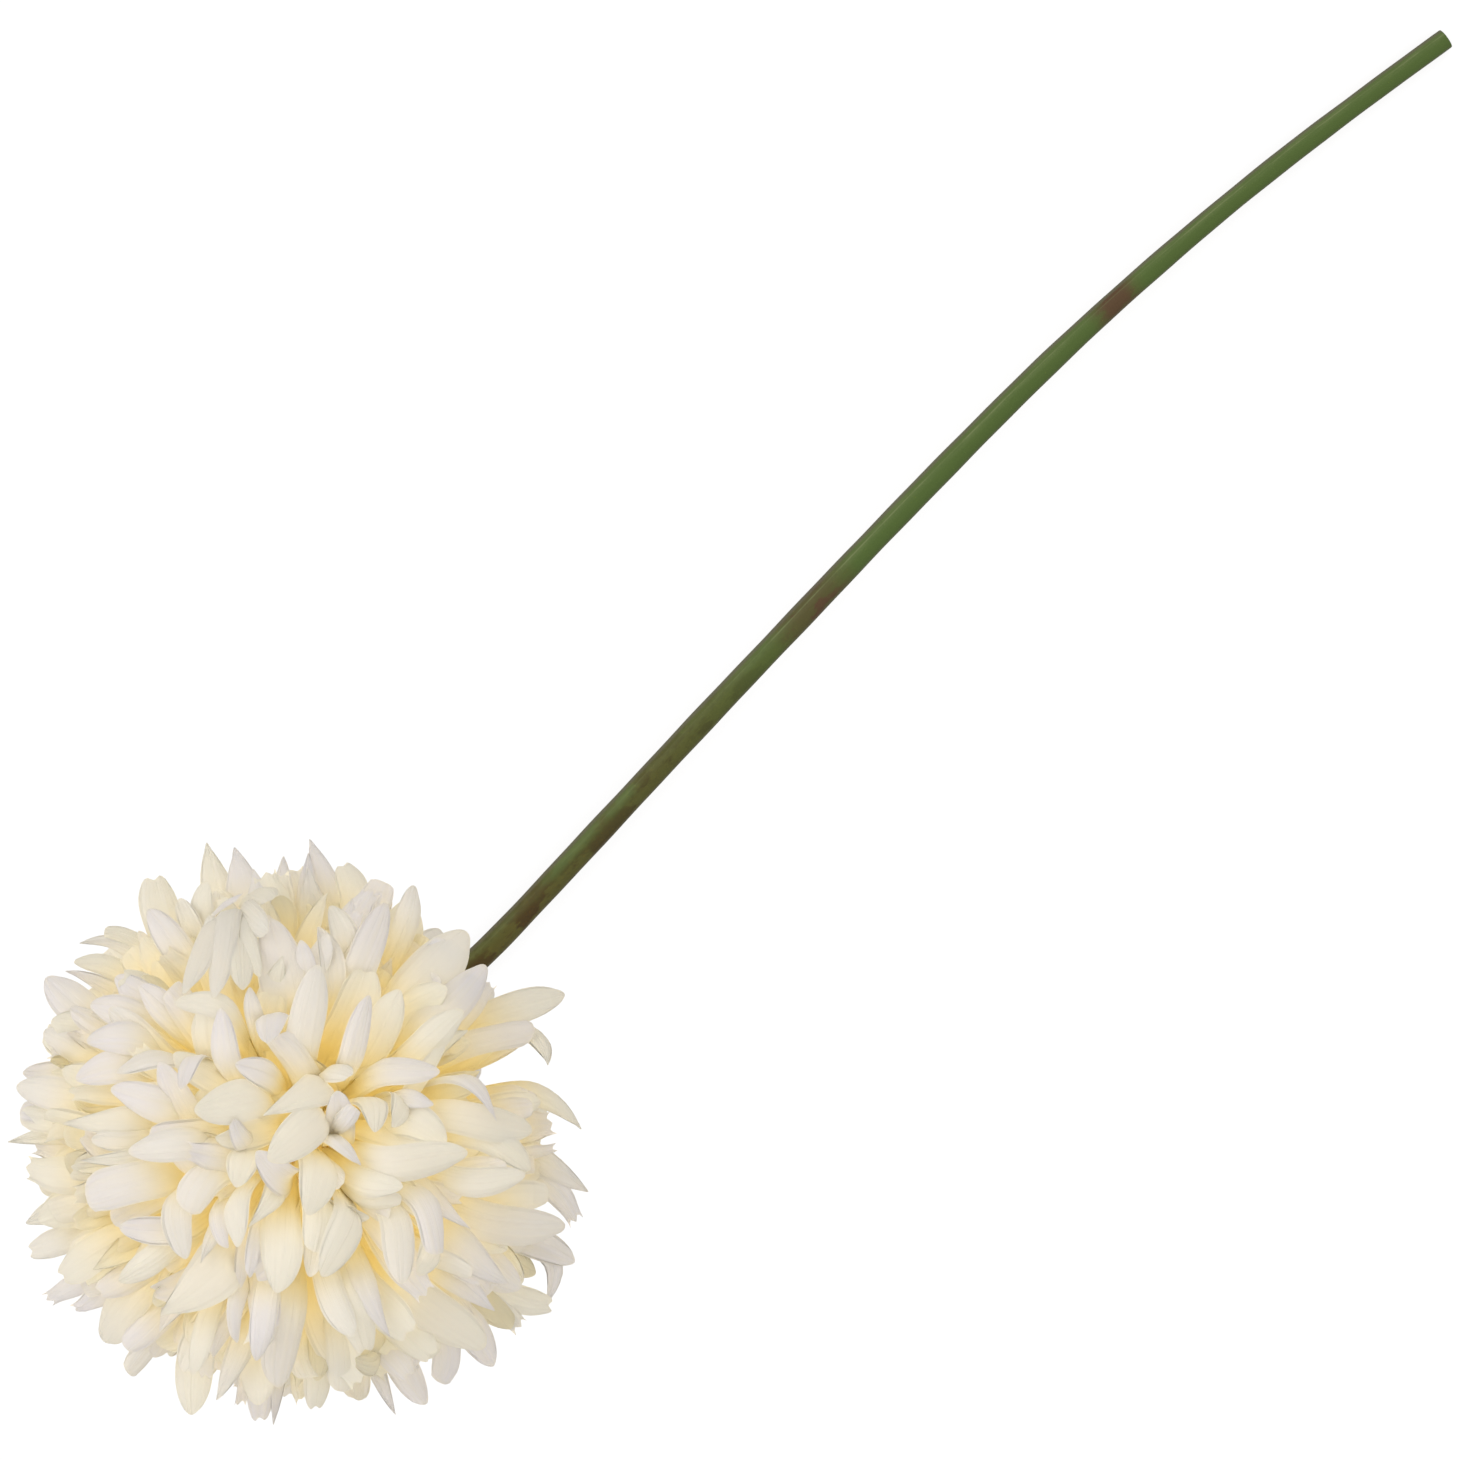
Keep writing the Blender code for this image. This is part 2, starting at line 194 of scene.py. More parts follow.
# each kind of tip: its share of the length, the two powers of its closing curve, the half width of
# its last row, and how far that row's columns stand out past the end, in shares of the tip
tipKinds = {
    "rounded": (0.20, 1.9, 0.55, 0.46, -0.170, -0.050, 0.02, -0.050, -0.170),
    "blunt": (0.12, 3.0, 0.5, 0.74, -0.200, -0.020, 0.0, 0.030, -0.120),
    "pointed": (0.32, 1.4, 0.8, 0.20, -0.130, -0.060, 0.03, -0.060, -0.130),
    "notched": (0.16, 2.2, 0.5, 0.60, -0.150, 0.070, -0.240, 0.050, -0.160),
    "jagged": (0.18, 1.8, 0.6, 0.60, 0.120, -0.200, 0.160, -0.240, 0.020),
}
restLimits = {"height": 0.1 * mm, "rounding": 0.8 * mm, "spread": 0.7}
partingLimits = {"halfWidth": 8.5 * mm, "top": 16.0 * mm, "fade": 8.0 * mm, "start": 10.0 * mm}


# Directions for petals at an angle from the crown and a turn round it: outwards, towards the
# crown and sideways, each at right angles to the others.
def headDirections(angle, turn):
    outwards = np.cos(turn)[..., None] * side + np.sin(turn)[..., None] * cross
    out = np.cos(angle)[..., None] * crown + np.sin(angle)[..., None] * outwards
    toCrown = np.sin(angle)[..., None] * crown - np.cos(angle)[..., None] * outwards
    return out, toCrown, np.cross(crown, outwards)


# Lifts points that would lie below the surface, with a hyperbola as the soft bend, and spreads them
# outwards.
def layOnSurface(points, outwards):
    above = points[..., 2:] - restLimits["height"]
    lift = 0.5 * (np.hypot(above, restLimits["rounding"]) - above)
    return points + lift * (np.array((0.0, 0.0, 1.0)) + restLimits["spread"] * outwards)


# Moves points sideways, off the stem, where the stem runs under the head: to the square root of the
# sum of the squares of their own distance and of what is kept free there.
def partFromStem(points, sideways):
    share = smoothStep((partingLimits["top"] - points[..., 2]) / partingLimits["fade"])
    share = share * smoothStep((points[..., 0] - head["x"]) / partingLimits["start"])
    moved = points.copy()
    offset = np.hypot(points[..., 1], share * partingLimits["halfWidth"]) - np.abs(points[..., 1])
    moved[..., 1] += sideways * offset
    return moved


# Petal sheets, all at once. The middle line runs from the root to the knee and on to the tip. Its
# corner is rounded as a hyperbola: the way gone past the knee is (d + sqrt(d^2 + r^2)) / 2 for a
# distance d from it. The line hooks inwards with the 5th power of its share, bows sideways as a
# sine and bends once more near the tip. Across it each row is an arc of the petal's own half angle,
# with soft folds and a wave that grows to the edges. The half width rises as a sine and closes over
# the tip as (1 - c^p)^q.
def petalPoints(petals):
    tipPart, power, fullness, least = petals["tipShape"][:, :4].T[:, :, None, None]
    tipOffsets = petals["tipShape"][:, None, 4:]
    tipRows = np.array(petalGrid["tipRows"])[None, :, None]
    blade = np.array(petalGrid["bladeRows"])[None, :, None] * (1.0 - tipPart)
    share = np.concatenate((blade, 1.0 - tipPart + tipRows * tipPart), axis=1)
    closing = np.concatenate((0.0 * blade, tipRows + 0.0 * tipPart), axis=1)
    columns = np.array(petalGrid["columns"])[None, None, :]
    number = {key: value[:, None, None] for key, value in petals.items() if value.ndim == 1}
    root, knee, tip, across = (petals[key][:, None, None, :] for key in ("root", "knee", "tip", "across"))
    firstLeg, lastLeg = knee - root, tip - knee
    firstLength, lastLength = np.linalg.norm(firstLeg, axis=-1), np.linalg.norm(lastLeg, axis=-1)
    out, end = unit(firstLeg), unit(lastLeg)
    offAxis = out - end * dot(out, end)
    hookVector = offAxis * -number["hook"][..., None]
    kinkVector = unit(offAxis + tiny) * (number["kink"] * petalGrid["kink"])[..., None]
    level = unit(out * (1.0, 1.0, 0.0) + tiny)
    fromStem = np.where(petals["knee"][:, 1] >= 0.0, 1.0, -1.0)[:, None, None]

    def middleLine(along):
        gone = along * (firstLength + lastLength)
        past = 0.5 * (gone - firstLength + np.hypot(gone - firstLength, number["rounding"]))
        line = root + out * (gone - past)[..., None] + end * past[..., None]
        line = line + hookVector * np.clip(along, 0.0, None)[..., None] ** 5
        line = line + across * (number["bow"] * np.sin(math.pi * along ** 2))[..., None]
        pastKink = along - petalGrid["kinkAt"]
        line = line + kinkVector * (pastKink + np.hypot(pastKink, petalGrid["kinkSoftness"]))[..., None]
        return partFromStem(layOnSurface(line, level), fromStem)

    place = share + tipOffsets * tipPart * closing ** 6
    step = 0.01
    along = unit(middleLine(place + step) - middleLine(place - step))
    wide = unit(across - along * dot(across, along))
    roll = (number["roll"] + number["twist"] * share ** 2)[..., None]
    wide = wide * np.cos(roll) + np.cross(along, wide) * np.sin(roll)
    normal = np.cross(along, wide)

    opened = np.sin(0.5 * math.pi * np.clip(share / petalGrid["widestAt"], 0.0, 1.0)) ** petalGrid["widening"]
    opened = petalGrid["rootWidth"] + (1.0 - petalGrid["rootWidth"]) * opened
    closed = np.maximum((1.0 - closing ** power) ** fullness, least)
    halfWidth = number["halfWidth"] * opened * closed
    arc = number["arc"] + (petalGrid["rootRoll"] - 0.5 * number["arc"]) * (1.0 - share) ** 1.5
    phase = number["tint"] * 2.0 * math.pi
    uneven = np.sin(petalGrid["unevenWaves"] * share + phase + 2.0 * np.sign(columns))
    uneven = petalGrid["uneven"] * number["ruffle"] * uneven
    reach = halfWidth * (1.0 + uneven) * np.sin(columns * arc) / arc
    curl = number["cup"] * halfWidth * (1.0 - np.cos(columns * arc)) / arc
    folds = number["folds"] * (1.0 + petalGrid["foldLean"] * number["foldSide"] * columns)
    folds = folds * np.cos(2.0 * math.pi * columns) * (1.0 - 0.5 * columns ** 2)
    folds = folds * np.sin(math.pi * np.clip(share, 0.0, 0.97)) ** 0.5
    ripple = np.sin(share * petalGrid["waves"] + phase + columns) * columns ** 2 * share ** 1.5
    height = curl - petalGrid["ridge"] * folds + ripple * petalGrid["wave"] * number["ruffle"]
    sheets = middleLine(place) + wide * reach[..., None] + normal * height[..., None]
    points = shellPoints(sheets, 0.5 * petalGrid["thickness"] * normal[:, 1:-1, 1:-1])
    uv = np.stack(np.broadcast_arrays(0.5 + 0.5 * columns, share), axis=-1)
    return layOnSurface(points, np.zeros(3)), shellPoints(uv, 0.0)


# The finish of single petals, drawn from each one's number: tip, curl, twist, folds and tint.
def finishPetals(petals, draw, kinds, hollow, layer):
    def drawn(key, share):
        low, high = petalDraws[key]
        return low + (high - low) * share

    petals["tipShape"] = np.array(list(tipKinds.values()))[kinds]
    petals["hook"] = layer["hook"] * drawn("hook", chance(draw, 7))
    petals["twist"] = layer["twist"] * spread(draw, 9)
    petals["arc"] = drawn("arc", chance(draw, 10) ** 1.5)
    petals["cup"] = np.where(hollow, 1.0, -1.0)
    petals["ruffle"] = drawn("ruffle", chance(draw, 11))
    petals["tint"] = chance(draw, 12)
    petals["bow"] = petalGrid["bow"] * spread(draw, 14)
    petals["rounding"] = petalGrid["rounding"] * drawn("rounding", chance(draw, 15))
    petals["folds"] = drawn("folds", chance(draw, 16))
    petals["foldSide"] = spread(draw, 17)
    petals["kink"] = spread(draw, 18) ** 3
    return petals


def choosePetals(petals, chosen):
    return {key: values[chosen] for key, values in petals.items()}


# Where points are seen, to the right of and above the head's middle, in the plane through it.
def inPicture(points):
    depth = (eye[2] - centre[2]) / (eye[2] - points[:, 2:])
    return ((points - eye) * depth + eye - centre) @ pictureAxes.T


# places in the outline, as the camera sees it, that the layers' petals leave open: how far to the
# right of and above the head's middle, and the radius, all in millimetres
outlineNotches = (
    (47.0, 14.0, 5.5), (41.0, 15.0, 3.5), (50.0, -29.0, 3.0), (58.0, -6.0, 4.0), (55.0, 0.0, 3.0),
    (-8.0, 57.5, 3.5), (0.3, 58.0, 3.0), (-25.0, 54.0, 3.5), (47.0, 33.0, 6.0),
)


def leaveNotches(petals):  # three places of each petal's last leg are looked at
    kept = np.ones(len(petals["tip"]), bool)
    for x, y, radius in outlineNotches:
        for share in (0.4, 0.7, 1.0):
            seen = inPicture(petals["knee"] + (petals["tip"] - petals["knee"]) * share)
            kept &= np.hypot(seen[:, 0] - x * mm, seen[:, 1] - y * mm) > radius * mm
    return choosePetals(petals, kept)


# The rule for one layer of petals, in arrays: roots evenly spread over the ball by the golden angle.
# Each petal turns at its knee by its bend, away from the crown or, near the crown, any way.
def layerPetals(layer):
    item = np.arange(layer["count"], dtype=float)
    covered = 1.0 + math.cos(head["stemCone"])
    angle = np.arccos(1.0 - (item + 0.5) / layer["count"] * covered)
    out, toCrown, across = headDirections(angle, item * goldenAngle + layer["turnStart"])
    draw = item + layer["drawFrom"]

    def byAngle(key):
        return np.interp(np.degrees(angle), *zip(*layer[key]))

    dent = np.exp(-(np.arccos(np.clip(out[:, 0], -1.0, 1.0)) / head["dentAngle"]) ** 2)
    reach = layer["shortest"] + (layer["longest"] - layer["shortest"]) * chance(draw, 1)
    reach = head["reach"] * reach * (1.0 - head["dentShare"] * dent) * byAngle("reachBy")
    bend = np.radians(byAngle("bendBy") + layer["bendSpread"] * spread(draw, 2))
    outer = mm * byAngle("outerBy") * (1.0 + layer["outerSpread"] * spread(draw, 13))
    swing = np.radians(byAngle("swingBy")) * spread(draw, 3)
    heading = across * np.sin(swing)[:, None] - toCrown * np.cos(swing)[:, None]
    end = out * np.cos(bend)[:, None] + heading * np.sin(bend)[:, None]
    kneeReach = np.sqrt(reach ** 2 - (outer * np.sin(bend)) ** 2) - outer * np.cos(bend)
    width = layer["crownWidth"] + (1.0 - layer["crownWidth"]) * smoothStep(angle / math.radians(90.0))
    petals = {
        "angle": angle,
        "root": centre + out * (head["coreRadius"] - petalGrid["rootSink"]),
        "knee": centre + out * kneeReach[:, None],
        "tip": centre + out * kneeReach[:, None] + end * outer[:, None],
        "across": unit(np.cross(out, end)),
        "halfWidth": layer["halfWidth"] * width * (1.0 + layer["widthSpread"] * spread(draw, 5)),
        "roll": np.radians(byAngle("rollBy")) * spread(draw, 4),
    }
    kinds = np.searchsorted(np.cumsum(layer["kindShares"])[:-1], chance(draw, 8))
    petals = leaveNotches(finishPetals(petals, draw, kinds, chance(draw, 6) < layer["hollowed"], layer))
    first, last = np.radians(layer["between"])
    return choosePetals(petals, (petals["angle"] > first) & (petals["angle"] < last))


# in a layer, angles from the crown are in degrees, and each list with By in its name gives a value at
# some of them, the lengths in outerBy in millimetres
mainLayer = {
    "count": 280,
    "between": (0.0, 180.0),
    "turnStart": 0.0,
    "drawFrom": 0.0,
    "shortest": 0.90,
    "longest": 1.0,
    "reachBy": ((0.0, 0.94), (50.0, 0.93), (85.0, 0.89), (108.0, 0.93), (130.0, 1.0)),
    "bendBy": ((0.0, 58.0), (40.0, 48.0), (90.0, 34.0), (130.0, 20.0)),
    "bendSpread": 10.0,
    "outerBy": ((0.0, 14.0), (50.0, 20.0), (100.0, 19.0), (150.0, 15.0)),
    "outerSpread": 0.15,
    "swingBy": ((0.0, 180.0), (30.0, 60.0), (60.0, 38.0), (150.0, 25.0)),
    "rollBy": ((0.0, 45.0), (40.0, 28.0), (90.0, 22.0)),
    "kindShares": (0.42, 0.2, 0.16, 0.12, 0.1),  # of the kinds of tip, in their order above
    "halfWidth": 4.3 * mm,
    "crownWidth": 0.86,
    "widthSpread": 0.14,
    "hollowed": 0.3,
    "hook": 3.5 * mm,
    "twist": math.radians(24.0),
}
underLayer = dict(mainLayer, count=230, turnStart=2.0, drawFrom=1000.0, shortest=0.80, longest=0.94,
                  halfWidth=4.0 * mm, hollowed=0.4)
# shorter, straighter petals that fill the sides between the ones that rise and the ones that droop
sideLayer = dict(mainLayer, count=250, between=(50.0, 86.0), turnStart=4.0, drawFrom=2000.0, shortest=0.76,
                 longest=0.88, reachBy=((0.0, 1.0), (180.0, 1.0)), bendBy=((0.0, 8.0), (180.0, 8.0)),
                 bendSpread=24.0, outerBy=((0.0, 14.0), (180.0, 14.0)), halfWidth=3.9 * mm)

# Petals of the side that is seen when the flower lies down, placed one by one. Each row: where the
# tip and the knee are, to the right of and above the head's middle as seen from the camera, then
# the width, all in millimetres, and how high the petal stands in the layers (1 is the ball's skin).
shownPetals = {
    "rounded": (
        (-4.8, -4.6, 8.4, 6.8, 8.6, 1.04), (2.8, -15.5, 4.8, -3, 7.8, 1.02), (-4.2, -32, -3.5, -17, 8.2, 1),
        (-13, -9.8, -11.8, -2, 6.6, 0.98), (-20.6, 4.8, -5.5, 10, 9.6, 1.01),
        (-10.8, 15, -2.5, 14, 6.2, 0.99), (-16.5, 25, -17, 11.5, 6.4, 1),
        (-25.3, 27.6, -14.5, 25.5, 5.4, 1.03), (-6, 20.3, -5, 29, 6.8, 1.01), (4.3, 34, 1.5, 15, 7.8, 1.02),
        (15.6, 28.2, 14, 13, 5.8, 1.01), (10.2, 13, 4, 16, 5.6, 0.97), (17.2, 3, 16.5, 11, 5.8, 1),
        (21.5, 3, 24, 10, 5.2, 0.98), (20.5, -11, 11, -8.5, 6.4, 1), (35.6, -4.3, 16, -7.5, 8.6, 1.03),
        (6, -30, 14.5, -17, 7.8, 1.02), (22, -31, 21, -15, 7.2, 0.99), (38.6, -44.6, 22, -33.5, 9.6, 1.01),
        (41, -48, 37.5, -38, 7.2, 0.97), (55.2, -19.2, 36, -18, 9.2, 1), (46.9, -8.6, 35, -11.5, 7, 1.02),
        (49.6, -7.2, 38, 0.5, 6.2, 1), (50.6, 1.2, 31, 6, 7.6, 1.01), (55.6, 29.2, 40, 27, 6.8, 0.97),
        (26.6, -56.2, 20, -49.5, 7.6, 0.98), (14, -56.4, 14.6, -49, 7.6, 0.97),
        (-3.6, -54.6, -1, -37, 8.4, 1.02), (-8.4, -46.9, -7.5, -35.5, 5.4, 1.01),
        (-23, -58.2, -22, -46, 7.8, 0.97), (-22.2, -50, -21.3, -39.5, 4.8, 1.01),
        (-42.2, -44.6, -32.5, -33.5, 8.6, 0.99), (-37.2, -31.2, -28.5, -27, 6.2, 1),
        (-57.4, 9.6, -46, 9.4, 7.8, 0.98), (-54.2, 21.6, -45, 17.5, 8.4, 0.98),
        (-51.6, 32.2, -43, 24.5, 8.6, 0.98), (-45.9, 36.4, -38, 36, 5.6, 0.97),
        (-31.4, 47, -25.5, 37.5, 6.6, 1), (-19.6, 52, -21.5, 42.5, 5.2, 0.98),
        (-6, 45.6, -3.5, 30, 9.2, 0.98), (-23.4, 29.6, -16.8, 51, 7.2, 1.03),
        (-17.6, 29.4, -15.8, 51.5, 6, 1.045), (-11.6, 31, -14.6, 51.2, 5.8, 1.03),
        (-8.4, 35.2, -12.4, 50.5, 4.6, 1.02), (-5.2, 48.6, -12.6, 54, 6.4, 0.99), (1, 39.4, 1.4, 32.8, 5, 1),
        (18.7, 48.2, 12, 35, 6.8, 1.02), (24.5, 51.4, 22.5, 41, 6.2, 0.98), (35.6, 42.2, 23.6, 29.2, 11.8, 1),
        (40.2, 35.6, 27.4, 22, 9.2, 1), (34.4, 25, 27.5, 16.5, 7.2, 1.01), (29.4, 13, 16, 13.6, 6.2, 0.98),
        (27.6, 6.6, 21.5, 8, 4.8, 0.98), (31.2, -1.4, 22, 3.5, 7.4, 0.98), (-10.6, 28.6, -10.5, 23.5, 4.2, 1),
        (-38.6, 9.2, -25.5, 6.8, 8.2, 1), (-35, -3.9, -20.5, -3, 8, 1.03),
        (-42.7, -1.4, -34, -0.8, 5.6, 0.98), (-12.4, -23.2, -15, -12.5, 6.6, 1.01),
        (-24.6, 10.2, -24, 19, 5, 0.99), (10.8, -41.6, 4, -33.5, 6.4, 1.01), (-43.6, 20, -33, 21.5, 8, 1),
        (-44, 27.6, -34.5, 24, 7.4, 0.99), (-33.4, 31.6, -27, 26, 6.4, 1),
        (-38.4, 34.2, -30.5, 30.5, 7.4, 0.99), (27.6, -29.8, 33, -23.5, 6.2, 0.99),
        (-47.4, 12.4, -37.5, 15.6, 7.2, 0.99),
    ),
    "blunt": (
        (4.3, -23.6, 5.5, -13.5, 7.2, 1), (31, -24.6, 27, -11, 7.6, 1.02), (11.4, 3.8, 8, -1.5, 4.6, 0.98),
        (20.4, -14.6, 11, -12.8, 4.4, 0.97), (29.2, -48.2, 22, -40.5, 5.8, 0.98),
        (-34.9, -46.2, -27, -40.5, 6.4, 0.98), (-34.4, -50.2, -28, -44.5, 5, 0.96),
        (9.6, -55.2, 8.5, -42, 6.4, 0.99), (-23.4, -15.6, -19.6, -6.5, 8.2, 1),
        (-58.2, 4, -49, 2.6, 5.4, 0.97), (-43.2, -13.6, -32.5, -9.4, 8.8, 1), (-38.8, 44, -33, 42.5, 4, 0.97),
        (31.2, -51.8, 33.5, -43, 6.4, 0.97), (50, 22.6, 34, 18.5, 6.6, 0.96), (39, 33, 35.5, 25, 4.6, 0.98),
    ),
    "pointed": (
        (-5.7, 4.8, 10, 13, 8.4, 1), (44.8, -31.8, 34.5, -22.5, 8.2, 1), (41.2, -37.2, 31.5, -30, 6.6, 0.99),
        (59, 1.5, 49, 11.5, 5.6, 0.98), (54.8, 16, 48, 26.4, 5.6, 1.04), (60.3, -12, 51.5, -3, 7.4, 0.97),
        (55, -35.6, 56.5, -24.5, 5.8, 0.96), (20.6, -58.2, 17.8, -50.5, 4.4, 0.96),
        (-5, -60.4, -5, -52.5, 4.2, 0.96), (-16.6, -55.2, -12.3, -44.5, 6.2, 0.99),
        (-28.6, -38.8, -13.5, -28.5, 11, 1), (-57.9, -19.4, -43.5, -16, 7.2, 0.98),
        (-60.2, -1.8, -49.5, -1.2, 4.6, 0.96), (-47.8, 33.8, -40, 31, 4.8, 0.97),
        (-44.9, 40, -35.5, 41, 4.4, 0.97), (-2.8, 58.2, -2, 47.5, 6.4, 0.97), (2.4, 58.2, 2, 47.5, 5, 0.96),
        (3.4, 60.8, 12.6, 51.5, 8.6, 0.975), (-49.2, 2.1, -35.5, 3.2, 6, 0.99),
        (-44.6, -5.8, -35.5, -7.6, 4.4, 0.99), (19.4, -42.2, 15.6, -31.5, 6, 1),
        (-9.9, -19.2, -3.5, -12.5, 5, 0.98), (-20, -25.4, -18.3, -19.5, 4.4, 0.98),
        (42.8, 4.4, 37, 16, 7.2, 1.05), (-9.4, 55, -9.8, 46, 8, 0.96), (-19.8, 60, -18.2, 47.6, 8.4, 0.97),
        (-13, 59.2, -11.4, 47, 9.6, 0.975),
    ),
    "notched": (
        (-30.6, 53, -30.4, 41.5, 8, 0.98), (-56.2, -25.2, -45.5, -21, 6.2, 0.97),
        (10.4, 57.2, 13, 47.5, 6.6, 0.965), (-8.4, -59.6, -8, -51.5, 5.8, 0.97),
        (-49.8, -30.4, -38.5, -24, 7.4, 0.98), (4, -57.8, 4.4, -47.5, 5.8, 0.98),
        (14.6, -46.2, 12.3, -33.5, 7.4, 1.01), (53, -35.6, 41.5, -32.5, 6.2, 0.97),
    ),
    "jagged": (
        (-51.6, -35, -40, -29.5, 6, 0.96), (-46.4, -37.6, -37.5, -31, 6.6, 0.97),
        (-56, -7.4, -45.5, -9, 8.8, 0.97), (59.4, -16.8, 54, -8.5, 5.6, 0.95),
        (-12.4, -56.2, -12.4, -49.5, 5, 0.96), (0.8, -57.2, 0, -51, 5, 0.96),
        (45.8, -40.4, 40.5, -35, 6, 0.94), (15.6, 51.2, 12, 43, 7, 0.97),
    ),
    "hollow": (
        (-7.4, -5, 0.5, -12, 7.2, 0.98), (5, 43.4, 7, 31, 6.6, 0.96), (-36, -21, -25.5, -24.5, 7, 0.98),
        (-56.8, 13.6, -48, 15.2, 5.6, 0.96), (48.4, -31, 44.8, -23.5, 4.6, 0.97),
        (7.6, 46.8, 12, 40.5, 6.6, 0.98), (57.4, -27, 48, -24, 7, 0.96), (-24.6, 48.2, -23.6, 41, 6, 0.95),
    ),
    "shaded": (
        (13.8, -51.3, 14.6, -43.4, 8, 0.93), (17, -48.2, 17.4, -41, 7, 0.91),
        (44.7, -40.2, 40.7, -35.5, 7, 0.94), (49.4, -29.2, 43.9, -26, 7, 0.92),
        (36.7, 10.4, 32.4, 10.2, 6, 0.9), (4.3, -51.3, 4.3, -46.6, 6, 0.93), (-49, -6.6, -44, -8.6, 8, 0.93),
        (-53.5, 15.2, -48.8, 13.6, 6, 0.94), (-5, 51, -4, 45, 7, 0.9), (-31.5, 33, -28, 30.5, 6, 0.92),
    ),
    "rolled": (
        (-12.4, 0.7, -9.2, -5, 5, 0.99), (12.2, -5.2, 6.3, 1.4, 4.4, 1.02),
        (-37.8, 14.4, -26, 18.4, 6.6, 1.02), (-24, -25.2, -29.6, -13, 6.4, 1.01),
        (-17, -22.8, -20.8, -15.5, 5.4, 1), (-9.6, -29.2, -7.8, -20.5, 4.8, 0.98),
        (-6, 41.6, -13.4, 51.6, 6, 1), (13, -48.4, 20.5, -49, 5, 0.98), (-12.8, -43.6, -14.2, -35.5, 4.8, 1),
        (-13.6, 52, -21.8, 46.4, 5.4, 1),
    ),
}
shownLayer = {
    "skin": 60.0 * mm,
    "kneeDepth": 0.95,
    "rimKneeDepth": 0.86,
    "facing": 0.6,
    "rimFacing": 2.4,
    "rimStarts": 48.0 * mm,
    "rimEnds": 60.0 * mm,
    "widthGain": 1.06,
    "roll": math.radians(14.0),
    "rolledBy": math.radians(48.0),
    "hook": 3.0 * mm,
    "twist": math.radians(16.0),
    "drawFrom": 3000.0,
}


# Where sight lines through places beside the head's middle meet a ball round it. Lines that miss
# the ball give their nearest points to the middle.
def onBall(places, reach):
    sight = unit(centre + places @ pictureAxes - eye)
    middle = dot(centre - eye, sight)
    room = reach[:, None] ** 2 - np.sum((eye + sight * middle - centre) ** 2, axis=-1, keepdims=True)
    return eye + sight * (middle - np.sqrt(np.maximum(room, 0.0)))


# The placed petals, in arrays: tip and knee are found on balls round the middle, and each petal lies
# across the way outwards, tilted to face up, more so at the rim.
def placedPetals():
    names = list(tipKinds)
    rows = np.array([row for petals in shownPetals.values() for row in petals])
    groups = np.repeat(list(shownPetals), [len(petals) for petals in shownPetals.values()])
    kinds = np.array([names.index(group) if group in names else 0 for group in groups])
    high = rows[:, 5]
    draw = np.arange(len(rows)) + shownLayer["drawFrom"]
    rim = smoothStep((np.hypot(rows[:, 0], rows[:, 1]) * mm - shownLayer["rimStarts"])
                     / (shownLayer["rimEnds"] - shownLayer["rimStarts"]))
    kneeDepth = shownLayer["kneeDepth"] + (shownLayer["rimKneeDepth"] - shownLayer["kneeDepth"]) * rim
    tip = onBall(rows[:, :2] * mm, shownLayer["skin"] * high)
    knee = onBall(rows[:, 2:4] * mm, shownLayer["skin"] * high * kneeDepth)
    out = unit(knee - centre)
    facing = shownLayer["facing"] + shownLayer["rimFacing"] * rim
    upwards = facing[:, None] * np.array((0.0, 0.0, 1.0))
    rolledOver = np.where(chance(draw, 4) < 0.5, 1.0, -1.0) * (groups == "rolled") * shownLayer["rolledBy"]
    petals = {
        "angle": np.arccos(np.clip(out @ crown, -1.0, 1.0)),
        "root": centre + out * (head["coreRadius"] - petalGrid["rootSink"]),
        "knee": knee,
        "tip": tip,
        "across": unit(np.cross(unit(tip - centre) + upwards, tip - knee)),
        "halfWidth": 0.5 * mm * rows[:, 4] * shownLayer["widthGain"],
        "roll": shownLayer["roll"] * spread(draw, 5) + rolledOver,
    }
    petals = finishPetals(petals, draw, kinds, groups == "hollow", shownLayer)
    petals["tint"] += groups == "shaded"
    return petals


# the pieces that the petals are shared out to, by their angle from the crown in degrees
petalBands = {"petals_crown": (0.0, 62.0), "petals_rim": (62.0, 104.0), "petals_under": (104.0, 180.0)}


def makePetals(material):
    layers = [layerPetals(mainLayer), layerPetals(underLayer), layerPetals(sideLayer), placedPetals()]
    petals = {key: np.concatenate([layer[key] for layer in layers]) for key in layers[0]}
    rows = len(petalGrid["bladeRows"]) + len(petalGrid["tipRows"])
    columns = len(petalGrid["columns"])
    points, uv = petalPoints(petals)
    perPetal = points.shape[1]
    degrees = np.degrees(petals["angle"])
    made = []
    for name, (low, high) in petalBands.items():
        chosen = np.flatnonzero((degrees >= low) & (degrees < high))
        piece = makePiece(name, points[chosen].reshape(-1, 3), shellQuads(rows, columns, len(chosen)),
                          uv[chosen].reshape(-1, 2), {"tint": np.repeat(petals["tint"][chosen], perPetal)},
                          material)
        sharpenRims(piece, rows, columns, perPetal)
        smoothing = piece.modifiers.new("smoothing", "SUBSURF")
        smoothing.levels = petalGrid["smoothing"]
        smoothing.render_levels = petalGrid["smoothing"]
        made.append(piece)
        print(name, len(chosen), "petals")
    return made


